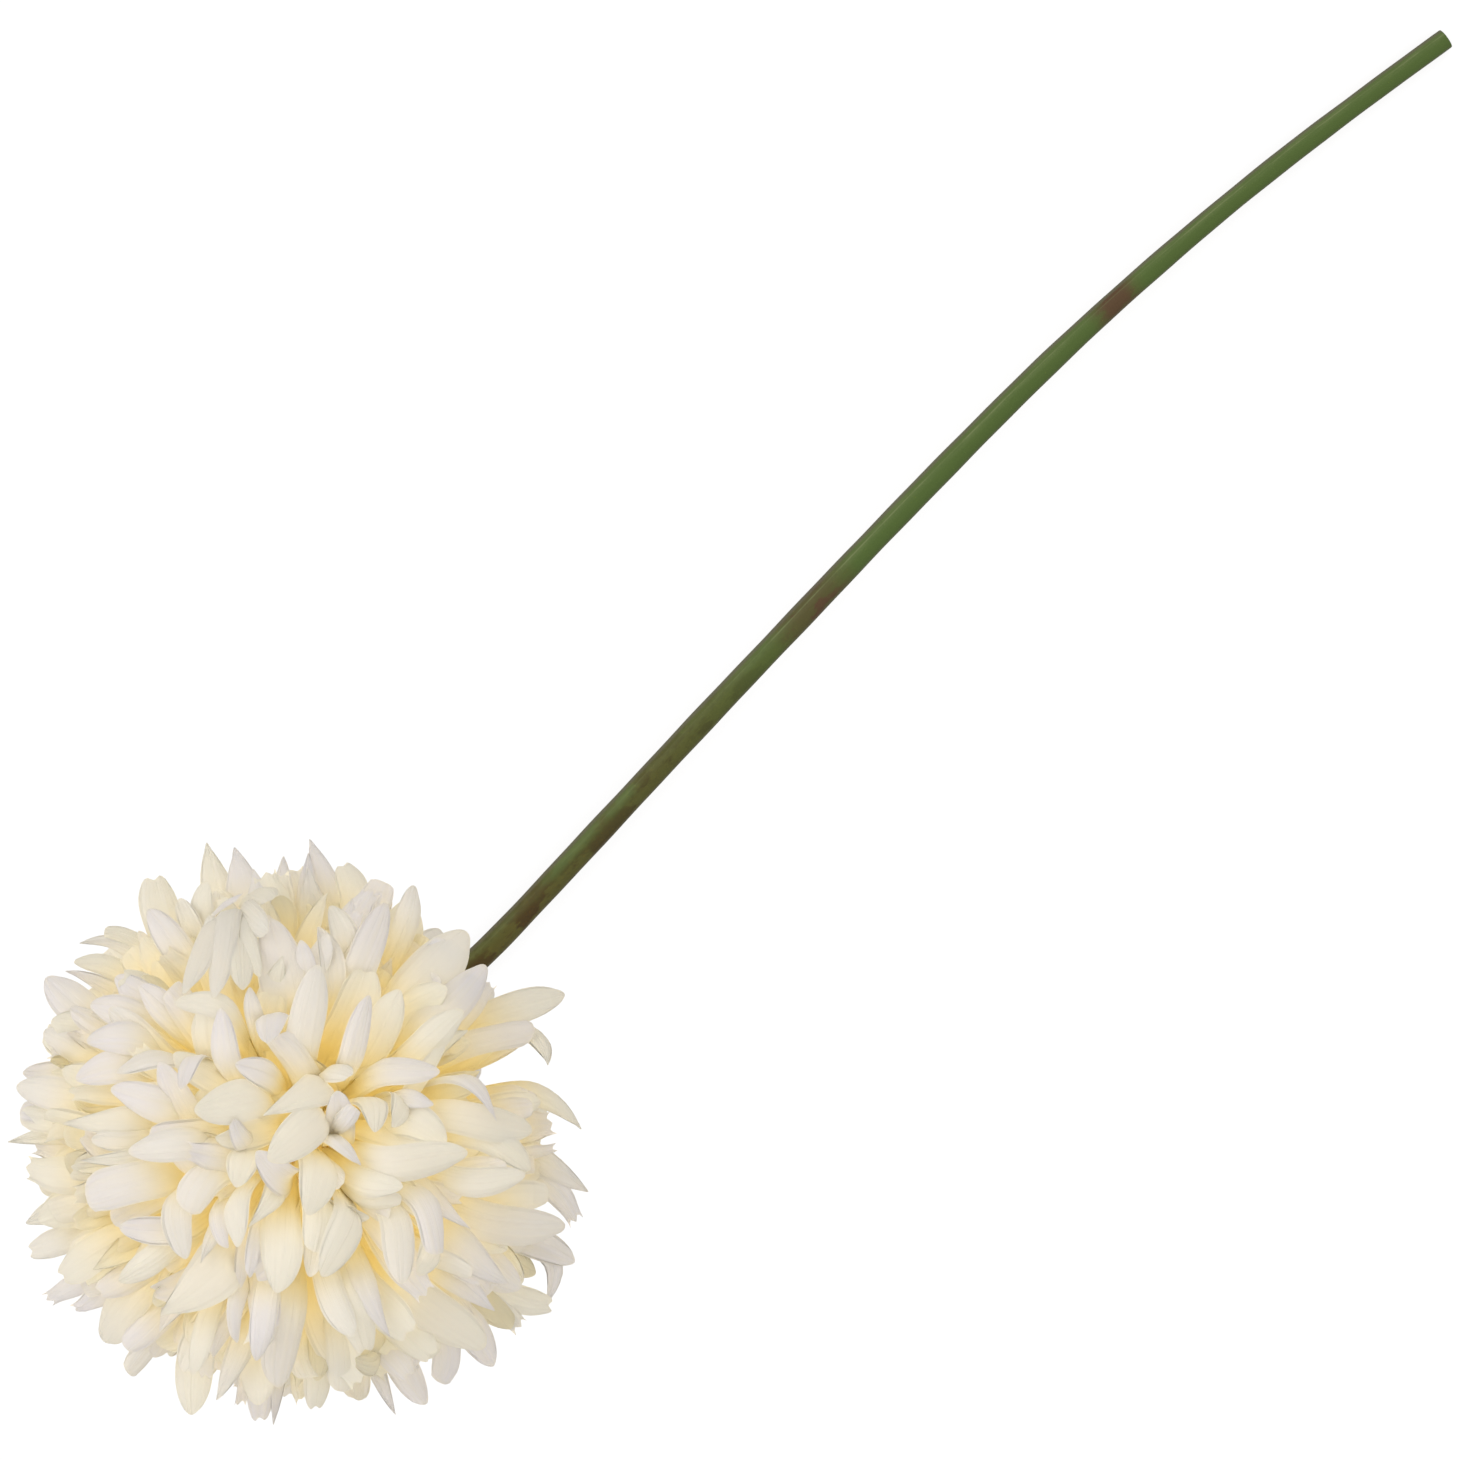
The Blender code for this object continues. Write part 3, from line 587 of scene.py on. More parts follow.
# Full creases on the rims keep the petals' outlines at their full width when they are smoothed, and
# sharp edges there keep each face's shading its own.
def sharpenRims(piece, rows, columns, perPetal):
    row, column = np.divmod(np.arange(rows * columns), columns)
    rim = np.zeros(perPetal, bool)
    rim[:rows * columns] = (row == 0) | (row == rows - 1) | (column == 0) | (column == columns - 1)
    mesh = piece.data
    ends = np.zeros(len(mesh.edges) * 2, np.int32)
    mesh.edges.foreach_get("vertices", ends)
    onRim = rim[ends.reshape(-1, 2) % perPetal].all(axis=1)
    mesh.attributes.new("crease_edge", "FLOAT", "EDGE").data.foreach_set("value", onRim.astype(np.float32))
    mesh.attributes.new("sharp_edge", "BOOLEAN", "EDGE").data.foreach_set("value", onRim)


# A closed piece from rings of points, a ball, a tube or a turned outline. Its ends are welded.
def makeTube(name, points, along, numbers, material):
    rings, sides = points.shape[:2]
    index = np.arange(rings * sides).reshape(rings, sides)
    following = np.roll(index, -1, axis=1)
    quads = np.stack((index[:-1], following[:-1], following[1:], index[1:]), axis=-1)
    around, length = np.meshgrid(np.arange(sides) / sides, along)
    uv = np.stack((around.ravel(), length.ravel()), axis=-1)
    piece = makePiece(name, points.reshape(-1, 3), quads.reshape(-1, 4), uv, numbers, material)
    closeEnds(piece)
    return piece


def ringTurns(sides):
    return np.arange(sides) * 2.0 * math.pi / sides


# Welds each tiny end ring to one point, or the two end rings of a closed outline to one another.
def closeEnds(piece):
    bm = bmesh.new()
    bm.from_mesh(piece.data)
    bmesh.ops.remove_doubles(bm, verts=bm.verts, dist=weldReach)
    bmesh.ops.recalc_face_normals(bm, faces=bm.faces)
    bm.to_mesh(piece.data)
    bm.free()


coreBall = {"radius": 23.7 * mm, "dimple": 0.5 * mm, "dimples": (9.0, 11.0), "rings": 24, "sides": 40}


# The ball under the petals: a sphere by angle and turn, with low dimples as sines of both.
def makeCore(material):
    angle = np.linspace(0.0, math.pi, coreBall["rings"])[:, None]
    turn = ringTurns(coreBall["sides"])
    down, around = coreBall["dimples"]
    dimples = np.sin(down * angle) * np.sin(around * turn) * np.sin(angle)
    radius = coreBall["radius"] - coreBall["dimple"] * (0.5 + 0.5 * dimples)
    points = centre + headDirections(angle, turn)[0] * radius[..., None]
    return makeTube("head_core", points, angle[:, 0] / math.pi, {"tint": np.full(radius.size, 0.5)}, material)


stemRun = {
    "radii": ((0.0, 2.95), (45.0, 2.95), (75.0, 2.72), (230.0, 2.58), (290.0, 2.28), (380.0, 2.2)),
    "plugDepth": 14.0 * mm,
    "neckLength": 31.0 * mm,
    "neckRings": 6,
    "bendRings": 28,
    "runRings": 150,
    "runHeight": 3.9 * mm,
    "runArch": 3.2 * mm,
    "span": 335.0 * mm,
    "bow": ((48.0, -0.2), (82.0, 1.85), (120.0, 4.15), (177.0, 7.0), (206.0, 8.05), (227.5, 8.5),
            (249.0, 8.1), (271.0, 7.05), (292.0, 5.4), (314.0, 2.87), (335.0, 0.1)),
    "bowRounding": 9.0 * mm,
    "bellReach": 2.5,
    "bellSteps": 21,
    "sides": 28,
    "swells": ((0.012, 180.0, 1.0), (0.008, 410.0, 0.0)),  # share of the radius, waves and where they start
    "seamHeight": 0.09 * mm,
    "seamWidth": 0.16,
    "seamTurn": math.radians(66.0),
    "seamFull": 2.0 * mm,  # on thinner rings the seam is lower
    "endRounding": 0.35 * mm,
    "endShift": (-1.0, -0.3),
    "endShrink": 0.97,
}


# The stem's middle line: down the crown line, round an arc to level, then along the surface with
# a sideways bow from its points, rounded by a Gaussian bell, and a low arch as a squared sine.
def stemLine():
    down = -crown
    ahead = np.array((1.0, 0.0, 0.0))
    fullTurn = math.acos(float(down @ ahead))
    inwards = unit(ahead - down * float(down @ ahead))

    def bent(turn):
        return np.sin(turn) * down + (1.0 - np.cos(turn)) * inwards

    start = centre + down * stemRun["plugDepth"]
    foot = centre + down * stemRun["neckLength"]
    neck = start + (foot - start) * np.linspace(0.0, 1.0, stemRun["neckRings"])[:, None]
    radius = (stemRun["runHeight"] - foot[2]) / bent(fullTurn)[2]
    bend = foot + radius * bent(np.linspace(0.0, fullTurn, stemRun["bendRings"])[1:, None])
    share = np.linspace(0.0, 1.0, stemRun["runRings"])[1:]
    bowAt, bow = (np.array(values) * mm for values in zip(*stemRun["bow"]))
    bowAt = np.concatenate(((bend[-1, 0] - head["x"],), bowAt))
    bow = np.concatenate(((bend[-1, 1],), bow))
    place = bowAt[0] + (stemRun["span"] - bowAt[0]) * share
    bell = np.linspace(-stemRun["bellReach"], stemRun["bellReach"], stemRun["bellSteps"])
    weight = np.exp(-0.5 * bell ** 2)
    room = np.minimum(place - place[0], place[-1] - place) / stemRun["bellReach"]
    room = np.minimum(stemRun["bowRounding"], room)
    offset = np.interp(place[:, None] + room[:, None] * bell, bowAt, bow) @ weight / weight.sum()
    endHeight = stemRun["radii"][-1][1] * mm
    height = stemRun["runHeight"] + (endHeight - stemRun["runHeight"]) * share ** 2
    height = height + stemRun["runArch"] * np.sin(math.pi * share) ** 2
    return np.concatenate((neck, bend, np.stack((head["x"] + place, offset, height), axis=-1)))


# Rings round the middle line: the radius follows the taper, with low swells as sines and a thin
# moulding seam raised along both sides as a narrow bell over the turn. A tiny ring closes each end,
# and the last three before it round the far one.
def makeStem(material):
    line = stemLine()
    distance = np.concatenate(((0.0,), np.cumsum(np.linalg.norm(np.diff(line, axis=0), axis=1))))
    radius = np.interp(distance, *(np.array(values) * mm for values in zip(*stemRun["radii"])))
    ring = np.concatenate(((0,), np.arange(len(line) - 1), (-1,) * 4))
    ways, distances, sizes = unit(np.gradient(line, axis=0))[ring], distance[ring], radius[ring]
    shift = np.zeros(len(ring))
    shift[-4:-2] = stemRun["endShift"]
    places = line[ring] + ways * (shift * stemRun["endRounding"])[:, None]
    sizes[-3] *= stemRun["endShrink"]
    sizes[-2] -= stemRun["endRounding"]
    sizes[[0, -1]] = tinyRadius
    turn = ringTurns(stemRun["sides"])
    fromSeam = np.abs(np.mod(turn - stemRun["seamTurn"] + math.pi / 2.0, math.pi) - math.pi / 2.0)
    seam = stemRun["seamHeight"] * np.exp(-(fromSeam / stemRun["seamWidth"]) ** 2)
    swell = 1.0 + sum(share * np.sin(waves * distances + start) for share, waves, start in stemRun["swells"])
    size = (sizes * swell)[:, None] + seam * np.minimum(sizes / stemRun["seamFull"], 1.0)[:, None]
    sideways = unit(np.array((0.0, 1.0, 0.0)) - ways * ways[:, 1:2])[:, None, :]
    upwards = np.cross(ways[:, None, :], sideways)
    outwards = np.cos(turn)[:, None] * sideways + np.sin(turn)[:, None] * upwards
    numbers = {"alongStem": np.repeat(distances, len(turn)),
               "acrossStem": np.tile(np.cos(turn), len(distances))}
    return makeTube("stem_skin", places[:, None, :] + size[..., None] * outwards, distances / distance[-1],
                    numbers, material)


calyxCup = {
    "profile": ((3.15, 24.35), (4.6, 24.1), (6.4, 23.7), (8.6, 23.0), (9.2, 23.2), (9.35, 23.8), (8.9, 24.6),
                (7.8, 25.6), (6.7, 26.7), (5.8, 27.8), (5.1, 28.9), (4.65, 29.7), (4.4, 30.1), (3.9, 30.25),
                (3.15, 30.2)),
    "sides": 66,
    "ribs": 11,
    "ribHeight": 0.1 * mm,
    "ribsPast": (4.0 * mm, 23.5 * mm),  # from the crown line, and down it from the head's middle
}
calyxScales = {
    # how many, the shift in shares of one, the angles of tip and root, and the ball's radius
    "rows": ((11, 0.0, 15.0, 24.0, 24.75), (11, 0.5, 12.0, 20.5, 25.15)),
    "halfWidth": 2.5 * mm,
    "startWidth": 0.35,
    "tipTaper": 4.0,
    "tipWidth": 0.04,
    "tipPower": 0.6,
    "keel": 0.35 * mm,
    "keelFade": 0.6,
    "thickness": 0.5 * mm,
    "lengthSteps": 7,
    "columns": 5,
}


# The cup: its outline turned round the crown line, with low ribs as a cosine over the turn.
def makeCup(material):
    outline = np.array(calyxCup["profile"] + calyxCup["profile"][:1]) * mm
    turn = ringTurns(calyxCup["sides"])
    outwards = np.cos(turn)[:, None] * side + np.sin(turn)[:, None] * cross
    ribbed = (outline > calyxCup["ribsPast"]).all(axis=1)
    radius = outline[:, :1] + calyxCup["ribHeight"] * np.cos(turn * calyxCup["ribs"]) * ribbed[:, None]
    points = centre + radius[..., None] * outwards - outline[:, 1, None, None] * crown
    return makeTube("calyx_cup", points, np.linspace(0.0, 1.0, len(outline)),
                    {"tint": np.full(radius.size, 0.5)}, material)


# The scales: leaf outlines on the ball, in two rows, as wide as a sine over their length and drawn
# in at the tip by a power. A low keel runs along each.
def makeScales(material):
    rows, columns = calyxScales["lengthSteps"], calyxScales["columns"]
    share = np.linspace(0.0, 1.0, rows)[None, :, None]
    column = np.linspace(-1.0, 1.0, columns)[None, None, :]
    start = calyxScales["startWidth"]
    width = start + (1.0 - start) * np.sin(math.pi * (start + (1.0 - start) * share))
    taper = np.clip((1.0 - share) * calyxScales["tipTaper"], calyxScales["tipWidth"], 1.0)
    width = width * taper ** calyxScales["tipPower"]
    keel = calyxScales["keel"] * (1.0 - np.abs(column)) * (1.0 - calyxScales["keelFade"] * share)
    points, tints = [], []
    for count, shift, low, high, radius in calyxScales["rows"]:
        item = np.arange(count, dtype=float)
        angle = math.pi - np.radians(low + (high - low) * share)
        turn = ((item + shift) * 2.0 * math.pi / count)[:, None, None]
        turn = turn + column * calyxScales["halfWidth"] * width / (radius * mm * np.sin(angle))
        out = headDirections(angle, turn)[0]
        sheets = centre + out * (radius * mm + keel)[..., None]
        points.append(shellPoints(sheets, -0.5 * calyxScales["thickness"] * out[:, 1:-1, 1:-1]))
        tints.append(chance(item, 3.0 + shift))
    points, tint = np.concatenate(points), np.concatenate(tints)
    uv = shellPoints(np.stack(np.broadcast_arrays(0.5 + 0.5 * column, share), axis=-1), 0.0)
    return makePiece("calyx_scales", points.reshape(-1, 3), shellQuads(rows, columns, len(points)),
                     np.tile(uv[0], (len(points), 1)), {"tint": np.repeat(tint, points.shape[1])}, material)


# Feeds a node's inputs: an output is linked to its input, and a number or a colour is set on it.
def feed(tree, node, values):
    for key, value in values.items():
        if isinstance(value, bpy.types.NodeSocket):
            tree.links.new(value, node.inputs[key])
        else:
            node.inputs[key].default_value = value


def addNode(tree, kind, values=None, **settings):
    node = tree.nodes.new(kind)
    for key, value in settings.items():
        setattr(node, key, value)
    feed(tree, node, values or {})
    return node


def mathNode(tree, operation, *values):
    return addNode(tree, "ShaderNodeMath", dict(enumerate(values)), operation=operation).outputs["Value"]


def multiply(tree, product, *others):
    for other in others:
        product = mathNode(tree, "MULTIPLY", product, other)
    return product


# How far a value is from a place, as a mask can use it.
def distanceNode(tree, value, place):
    return mathNode(tree, "ABSOLUTE", mathNode(tree, "SUBTRACT", value, place))


# A share that goes from first to last as a value goes through a range, evenly or eased as an S.
def rangeNode(tree, value, low, high, first=0.0, last=1.0, curve="LINEAR"):
    values = {"Value": value, "From Min": low, "From Max": high, "To Min": first, "To Max": last}
    return addNode(tree, "ShaderNodeMapRange", values, interpolation_type=curve).outputs["Result"]


def easeNode(tree, value, low, high, first=0.0, last=1.0):
    return rangeNode(tree, value, low, high, first, last, "SMOOTHSTEP")


def pointNumber(tree, name):  # a number that a piece has at each point
    return addNode(tree, "ShaderNodeAttribute", attribute_name=name).outputs["Fac"]


def objectPlace(tree):
    return addNode(tree, "ShaderNodeTexCoord").outputs["Object"]


def placeGroup(tree, group, values=None):
    return addNode(tree, "ShaderNodeGroup", values, node_tree=group).outputs


def mixColours(tree, share, first, second):
    first, second = ((*colour, 1.0) if isinstance(colour, tuple) else colour for colour in (first, second))
    return addNode(tree, "ShaderNodeMix", {0: share, 6: first, 7: second}, data_type="RGBA").outputs[2]


# Bumps laid one over another, each given as its height, its strength and its depth.
def layBumps(tree, *bumps):
    under = {}
    for height, strength, depth in bumps:
        values = {"Height": height, "Strength": strength, "Distance": depth, **under}
        under = {"Normal": addNode(tree, "ShaderNodeBump", values).outputs["Normal"]}
    return under["Normal"]


def blendShaders(tree, share, first, second):
    both = addNode(tree, "ShaderNodeMixShader", {0: share, 1: first, 2: second})
    feed(tree, tree.nodes["Material Output"], {"Surface": both.outputs["Shader"]})


def newMaterial(name):
    material = bpy.data.materials.new(name)
    material.use_nodes = True
    tree = material.node_tree
    return material, tree, tree.nodes["Principled BSDF"]


# A node group with named inputs, each a number or a vector, and named outputs, all numbers.
def newGroup(name, inputs, outputs):
    tree = bpy.data.node_groups.new(name, "ShaderNodeTree")
    for label, value in inputs.items():
        kind = "NodeSocketVector" if isinstance(value, tuple) else "NodeSocketFloat"
        tree.interface.new_socket(label, in_out="INPUT", socket_type=kind).default_value = value
    for label in outputs:
        tree.interface.new_socket(label, in_out="OUTPUT", socket_type="NodeSocketFloat")
    return tree, tree.nodes.new("NodeGroupInput").outputs, tree.nodes.new("NodeGroupOutput")


# Colour spots and fine grain from Object coordinates, shared by petals, core, calyx and stem.
def makeMottleGroup():
    inputs = {"Scale": 200.0, "Stretch": (1.0, 1.0, 1.0), "Low": 0.4, "High": 0.6}
    tree, given, result = newGroup("mottle", inputs, ("Mask", "Grain"))
    place = objectPlace(tree)
    stretched = addNode(tree, "ShaderNodeVectorMath", {0: place, 1: given["Stretch"]}, operation="MULTIPLY")
    patches = addNode(tree, "ShaderNodeTexNoise", {"Vector": stretched.outputs["Vector"],
                      "Scale": given["Scale"], "Detail": 4.0, "Roughness": 0.6})
    grain = addNode(tree, "ShaderNodeTexNoise", {"Vector": place, "Scale": 2600.0, "Detail": 2.0,
                    "Roughness": 0.7})
    mask = easeNode(tree, patches.outputs["Fac"], given["Low"], given["High"])
    feed(tree, result, {"Mask": mask, "Grain": grain.outputs["Fac"]})
    return tree


# where the petal's edge and its wider border start and are full, in UV, at the sides and at the tip
petalRims = {
    "CutEdgeAndGlow": ((0.445, 0.495), (0.975, 0.998)),
    "Border": ((0.40, 0.48), (0.92, 0.98)),
}


# Pressed petal cloth from its UV: lines that run along the petal, a fine weave across them, masks of its
# edge and border, and a share that falls from 1 deep in the head to 0 at its outside, which lays the root
# colour, partly painted warm shade.
def makePetalGroup():
    inputs = {"Lines": 9.0, "Weave": 70.0, "Inner": 36.0 * mm, "Outer": 56.5 * mm}
    tree, given, result = newGroup("petalCloth", inputs, ("Lines", "Weave", "DeepRootAndShade", "Along", *petalRims))
    uv = addNode(tree, "ShaderNodeUVMap", uv_map="along").outputs["UV"]
    parts = addNode(tree, "ShaderNodeSeparateXYZ", {"Vector": uv}).outputs
    across, along = parts["X"], parts["Y"]
    # the petal's own number sets its lines far apart in the noise from those of the others
    linePlace = addNode(tree, "ShaderNodeCombineXYZ", {
        "X": multiply(tree, across, given["Lines"]),
        "Y": multiply(tree, along, 0.8),
        "Z": multiply(tree, pointNumber(tree, "tint"), 37.0),
    })
    lines = addNode(tree, "ShaderNodeTexNoise", {"Vector": linePlace.outputs["Vector"], "Scale": 1.0,
                    "Detail": 2.0, "Roughness": 0.55})
    weavePlace = addNode(tree, "ShaderNodeMapping", {"Vector": uv, "Scale": (1.0, 4.5, 1.0)})
    weave = addNode(tree, "ShaderNodeTexVoronoi", {"Vector": weavePlace.outputs["Vector"],
                    "Scale": given["Weave"], "Randomness": 0.35})
    fromCentre = addNode(tree, "ShaderNodeVectorMath", {0: objectPlace(tree), 1: tuple(centre)},
                         operation="DISTANCE").outputs["Value"]
    fromMiddle = distanceNode(tree, across, 0.5)
    feed(tree, result, {
        "Lines": lines.outputs["Fac"],
        "Weave": weave.outputs["Distance"],
        "DeepRootAndShade": easeNode(tree, fromCentre, given["Inner"], given["Outer"], 1.0, 0.0),
        "Along": along,
    })
    for label, (atSides, atTip) in petalRims.items():
        sides, tip = rangeNode(tree, fromMiddle, *atSides), rangeNode(tree, along, *atTip)
        feed(tree, result, {label: mathNode(tree, "MAXIMUM", sides, tip)})
    return tree


petalLook = {
    "tip": (0.920, 0.892, 0.895),
    "warmTip": (0.952, 0.921, 0.823),
    "warmFrom": (0.3, 0.7),
    "blade": (0.942, 0.900, 0.810),
    "tipFrom": (0.45, 0.95),
    # the root colour, laid deep in the head: partly the petals' yellow base, partly painted warm shade
    # between them
    "root": (0.985, 0.842, 0.430),
    # a warm line at the cut edge: partly the cloth's edge, partly a painted glow of light through it
    "edge": (0.965, 0.900, 0.740),
    "edgeGlowShare": 0.3,
    "shaded": (0.800, 0.720, 0.480),
    "shadedBy": (0.999, 1.0, 0.0, 0.55),
    "spots": {"Scale": 90.0, "Low": 0.35, "High": 0.7},
    "spotShare": 0.25,
    "lineShade": (0.42, 0.62, 0.0, 0.35),
    "roughness": 0.62,
    "shine": 0.3,
    "sheen": 0.1,
    "throughLight": 0.45,
    "borderBump": (1.0, 0.3 * mm),  # strength and depth
    "lineBump": (1.0, 0.35 * mm),
    "weaveBump": (0.5, 0.015 * mm),
}


# The cloth: its colour goes from the root over the blade to the tip, which is warm or cool by the petal's
# number, and a number past 1 marks a shaded petal. Deep in the head the root colour is partly the petals'
# yellow base and partly painted warm shade between them.
def makePetalMaterial(cloth, mottle):
    material, tree, shader = newMaterial("petalCloth")
    look = petalLook
    fabric = placeGroup(tree, cloth)
    spots = placeGroup(tree, mottle, look["spots"])["Mask"]
    tint = pointNumber(tree, "tint")
    tips = mixColours(tree, easeNode(tree, tint, *look["warmFrom"]), look["tip"], look["warmTip"])
    colour = mixColours(tree, easeNode(tree, fabric["Along"], *look["tipFrom"]), look["blade"], tips)
    for share, over in (
        (multiply(tree, spots, look["spotShare"]), "warmTip"),
        (rangeNode(tree, fabric["Lines"], *look["lineShade"]), "blade"),
        # the warm cut edge, partly a painted glow of light through it
        (multiply(tree, fabric["CutEdgeAndGlow"], look["edgeGlowShare"]), "edge"),
        (rangeNode(tree, tint, *look["shadedBy"]), "shaded"),
        # painted warm shade deep in the head, with the petals' yellow root colour
        (fabric["DeepRootAndShade"], "root"),
    ):
        colour = mixColours(tree, share, colour, look[over])
    normal = layBumps(tree, (fabric["Border"], *look["borderBump"]), (fabric["Lines"], *look["lineBump"]),
                      (fabric["Weave"], *look["weaveBump"]))
    feed(tree, shader, {
        "Base Color": colour,
        "Roughness": look["roughness"],
        "Specular IOR Level": look["shine"],
        "Sheen Weight": look["sheen"],
        "Normal": normal,
    })
    through = addNode(tree, "ShaderNodeBsdfTranslucent", {"Color": colour, "Normal": normal})
    blendShaders(tree, look["throughLight"], shader.outputs["BSDF"], through.outputs["BSDF"])
    return material


coreLook = {
    "colour": (0.90, 0.66, 0.24),
    "spotColour": (0.60, 0.34, 0.08),
    "spots": {"Scale": 260.0, "Low": 0.45, "High": 0.62},
    "tintShare": 0.0,
    "bump": (0.6, 0.1 * mm),
    "roughness": 0.9,
}
calyxLook = {
    "colour": (0.100, 0.160, 0.050),
    "spotColour": (0.210, 0.270, 0.110),
    "spots": {"Scale": 300.0, "Low": 0.4, "High": 0.65},
    "tintShare": 0.4,
    "bump": (0.4, 0.05 * mm),
    "roughness": 0.55,
}


# One colour with spots of another and a fine grain. The piece's own number can tint it all towards
# the spots' colour.
def makeSpottedMaterial(name, look, mottle):
    material, tree, shader = newMaterial(name)
    spots = placeGroup(tree, mottle, look["spots"])
    colour = mixColours(tree, spots["Mask"], look["colour"], look["spotColour"])
    if look["tintShare"]:
        tinted = multiply(tree, pointNumber(tree, "tint"), look["tintShare"])
        colour = mixColours(tree, tinted, colour, look["spotColour"])
    feed(tree, shader, {
        "Base Color": colour,
        "Roughness": look["roughness"],
        "Normal": layBumps(tree, (spots["Grain"], *look["bump"])),
    })
    return material


stemLook = {
    "green": (0.070, 0.112, 0.024),
    "paintedLitGreen": (0.104, 0.145, 0.044),
    "brown": (0.084, 0.074, 0.017),
    "paintedLitBrown": (0.098, 0.096, 0.030),
    "darkBrown": (0.056, 0.034, 0.009),
    # the grey of a painted sheen at the stem's edges
    "edge": (0.122, 0.112, 0.070),
    # the light green of a painted highlight along the seam
    "line": (0.165, 0.195, 0.080),
    "mark": (0.088, 0.046, 0.022),
    "mottles": {
        "streaks": {"Scale": 700.0, "Stretch": (0.14, 1.0, 1.0), "Low": 0.4, "High": 0.64},
        "blotches": {"Scale": 260.0, "Stretch": (0.45, 1.0, 1.0), "Low": 0.44, "High": 0.57},
        "patches": {"Scale": 75.0, "Stretch": (0.6, 1.0, 1.0), "Low": 0.45, "High": 0.6},
        "speckles": {"Scale": 900.0, "Stretch": (0.5, 1.0, 1.0), "Low": 0.5, "High": 0.66},
    },
    # ranges across the stem, from -1 at its lower side to 1, and the shares at their two ends
    # painted light: lighter on the upper side, where the light falls
    "paintedLitSide": (-0.2, 0.6, 0.0, 1.0),
    "blotchSide": (-0.3, 0.45, 0.95, 0.35),
    "patchSide": (-0.4, 0.5, 0.15, 0.8),
    # painted sheen greying both edges
    "upperEdgeSheen": (0.62, 0.86, 0.0, 0.8),
    "lowerEdgeSheen": (0.8, 1.0, 0.0, 0.7),
    # painted highlight along the seam ridge
    "seamHighlightAt": 0.41,
    "seamHighlightFade": (0.014, 0.07, 0.75, 0.0),
    # ranges along the stem, and the shares at their two ends
    "seamHighlightShows": (110.0 * mm, 190.0 * mm, 0.15, 1.0),
    "greenStarts": (78.0 * mm, 100.0 * mm, 0.3, 1.0),
    "brownFades": (105.0 * mm, 195.0 * mm, 1.0, 0.0),
    "marks": ((176.5 * mm, 10.0 * mm), (268.0 * mm, 6.0 * mm)),  # where, and how long
    "markFade": (0.3, 1.4, 0.95, 0.0),  # in shares of a mark's length
    # the least and the most that is left where streaks, blotches and speckles break a colour up
    "streakPaintedLit": (0.45, 1.0),
    "streakSeamHighlight": (0.3, 1.0),
    "blotchMark": (0.6, 1.0),
    "speckled": (0.0, 0.45),
    "streakBump": (0.5, 0.06 * mm),
    "grainBump": (0.25, 0.03 * mm),
    "roughness": 0.5,
    "shine": 0.16,
}


# The stem has painted light: it is lighter on the side that the camera sees to the upper left, greyed at both
# edges by a painted sheen, and has a painted highlight in a thin line along its seam. It is brown and
# blotched near the head and green beyond, with two marks.
def makeStemMaterial(mottle):
    material, tree, shader = newMaterial("stemGreen")
    look = stemLook
    along, across = pointNumber(tree, "alongStem"), pointNumber(tree, "acrossStem")
    mottles = {name: placeGroup(tree, mottle, values) for name, values in look["mottles"].items()}

    def broken(name, first=0.0, last=1.0):
        return easeNode(tree, mottles[name]["Mask"], 0.0, 1.0, first, last)

    # painted light on the upper side, broken up by streaks
    light = easeNode(tree, across, *look["paintedLitSide"])
    light = multiply(tree, light, broken("streaks", *look["streakPaintedLit"]))
    greens = mixColours(tree, light, look["green"], look["paintedLitGreen"])
    browns = mixColours(tree, light, look["brown"], look["paintedLitBrown"])
    spots = multiply(tree, broken("blotches"), easeNode(tree, across, *look["blotchSide"]))
    spots = mathNode(tree, "MAXIMUM", spots, broken("speckles", *look["speckled"]))
    browns = mixColours(tree, spots, browns, look["darkBrown"])
    patches = multiply(tree, mottles["patches"]["Mask"], easeNode(tree, across, *look["patchSide"]),
                       easeNode(tree, along, *look["greenStarts"]))
    nearHead = multiply(tree, easeNode(tree, along, *look["brownFades"]),
                        mathNode(tree, "SUBTRACT", 1.0, patches))
    colour = mixColours(tree, nearHead, greens, browns)
    near, far, full, gone = look["markFade"]
    for place, length in look["marks"]:
        mark = easeNode(tree, distanceNode(tree, along, place), near * length, far * length, full, gone)
        mark = multiply(tree, mark, broken("blotches", *look["blotchMark"]))
        colour = mixColours(tree, mark, colour, look["mark"])
    # painted sheen at both edges
    edges = mathNode(tree, "MAXIMUM", easeNode(tree, across, *look["upperEdgeSheen"]),
                     easeNode(tree, multiply(tree, across, -1.0), *look["lowerEdgeSheen"]))
    colour = mixColours(tree, edges, colour, look["edge"])
    # a painted highlight in a thin line along the seam, fading in away from the head
    line = multiply(tree, easeNode(tree, distanceNode(tree, across, look["seamHighlightAt"]), *look["seamHighlightFade"]),
                    broken("streaks", *look["streakSeamHighlight"]), easeNode(tree, along, *look["seamHighlightShows"]))
    streaks = mottles["streaks"]
    feed(tree, shader, {
        "Base Color": mixColours(tree, line, colour, look["line"]),
        "Roughness": look["roughness"],
        "Specular IOR Level": look["shine"],
        "Normal": layBumps(tree, (streaks["Mask"], *look["streakBump"]),
                           (streaks["Grain"], *look["grainBump"])),
    })
    return material


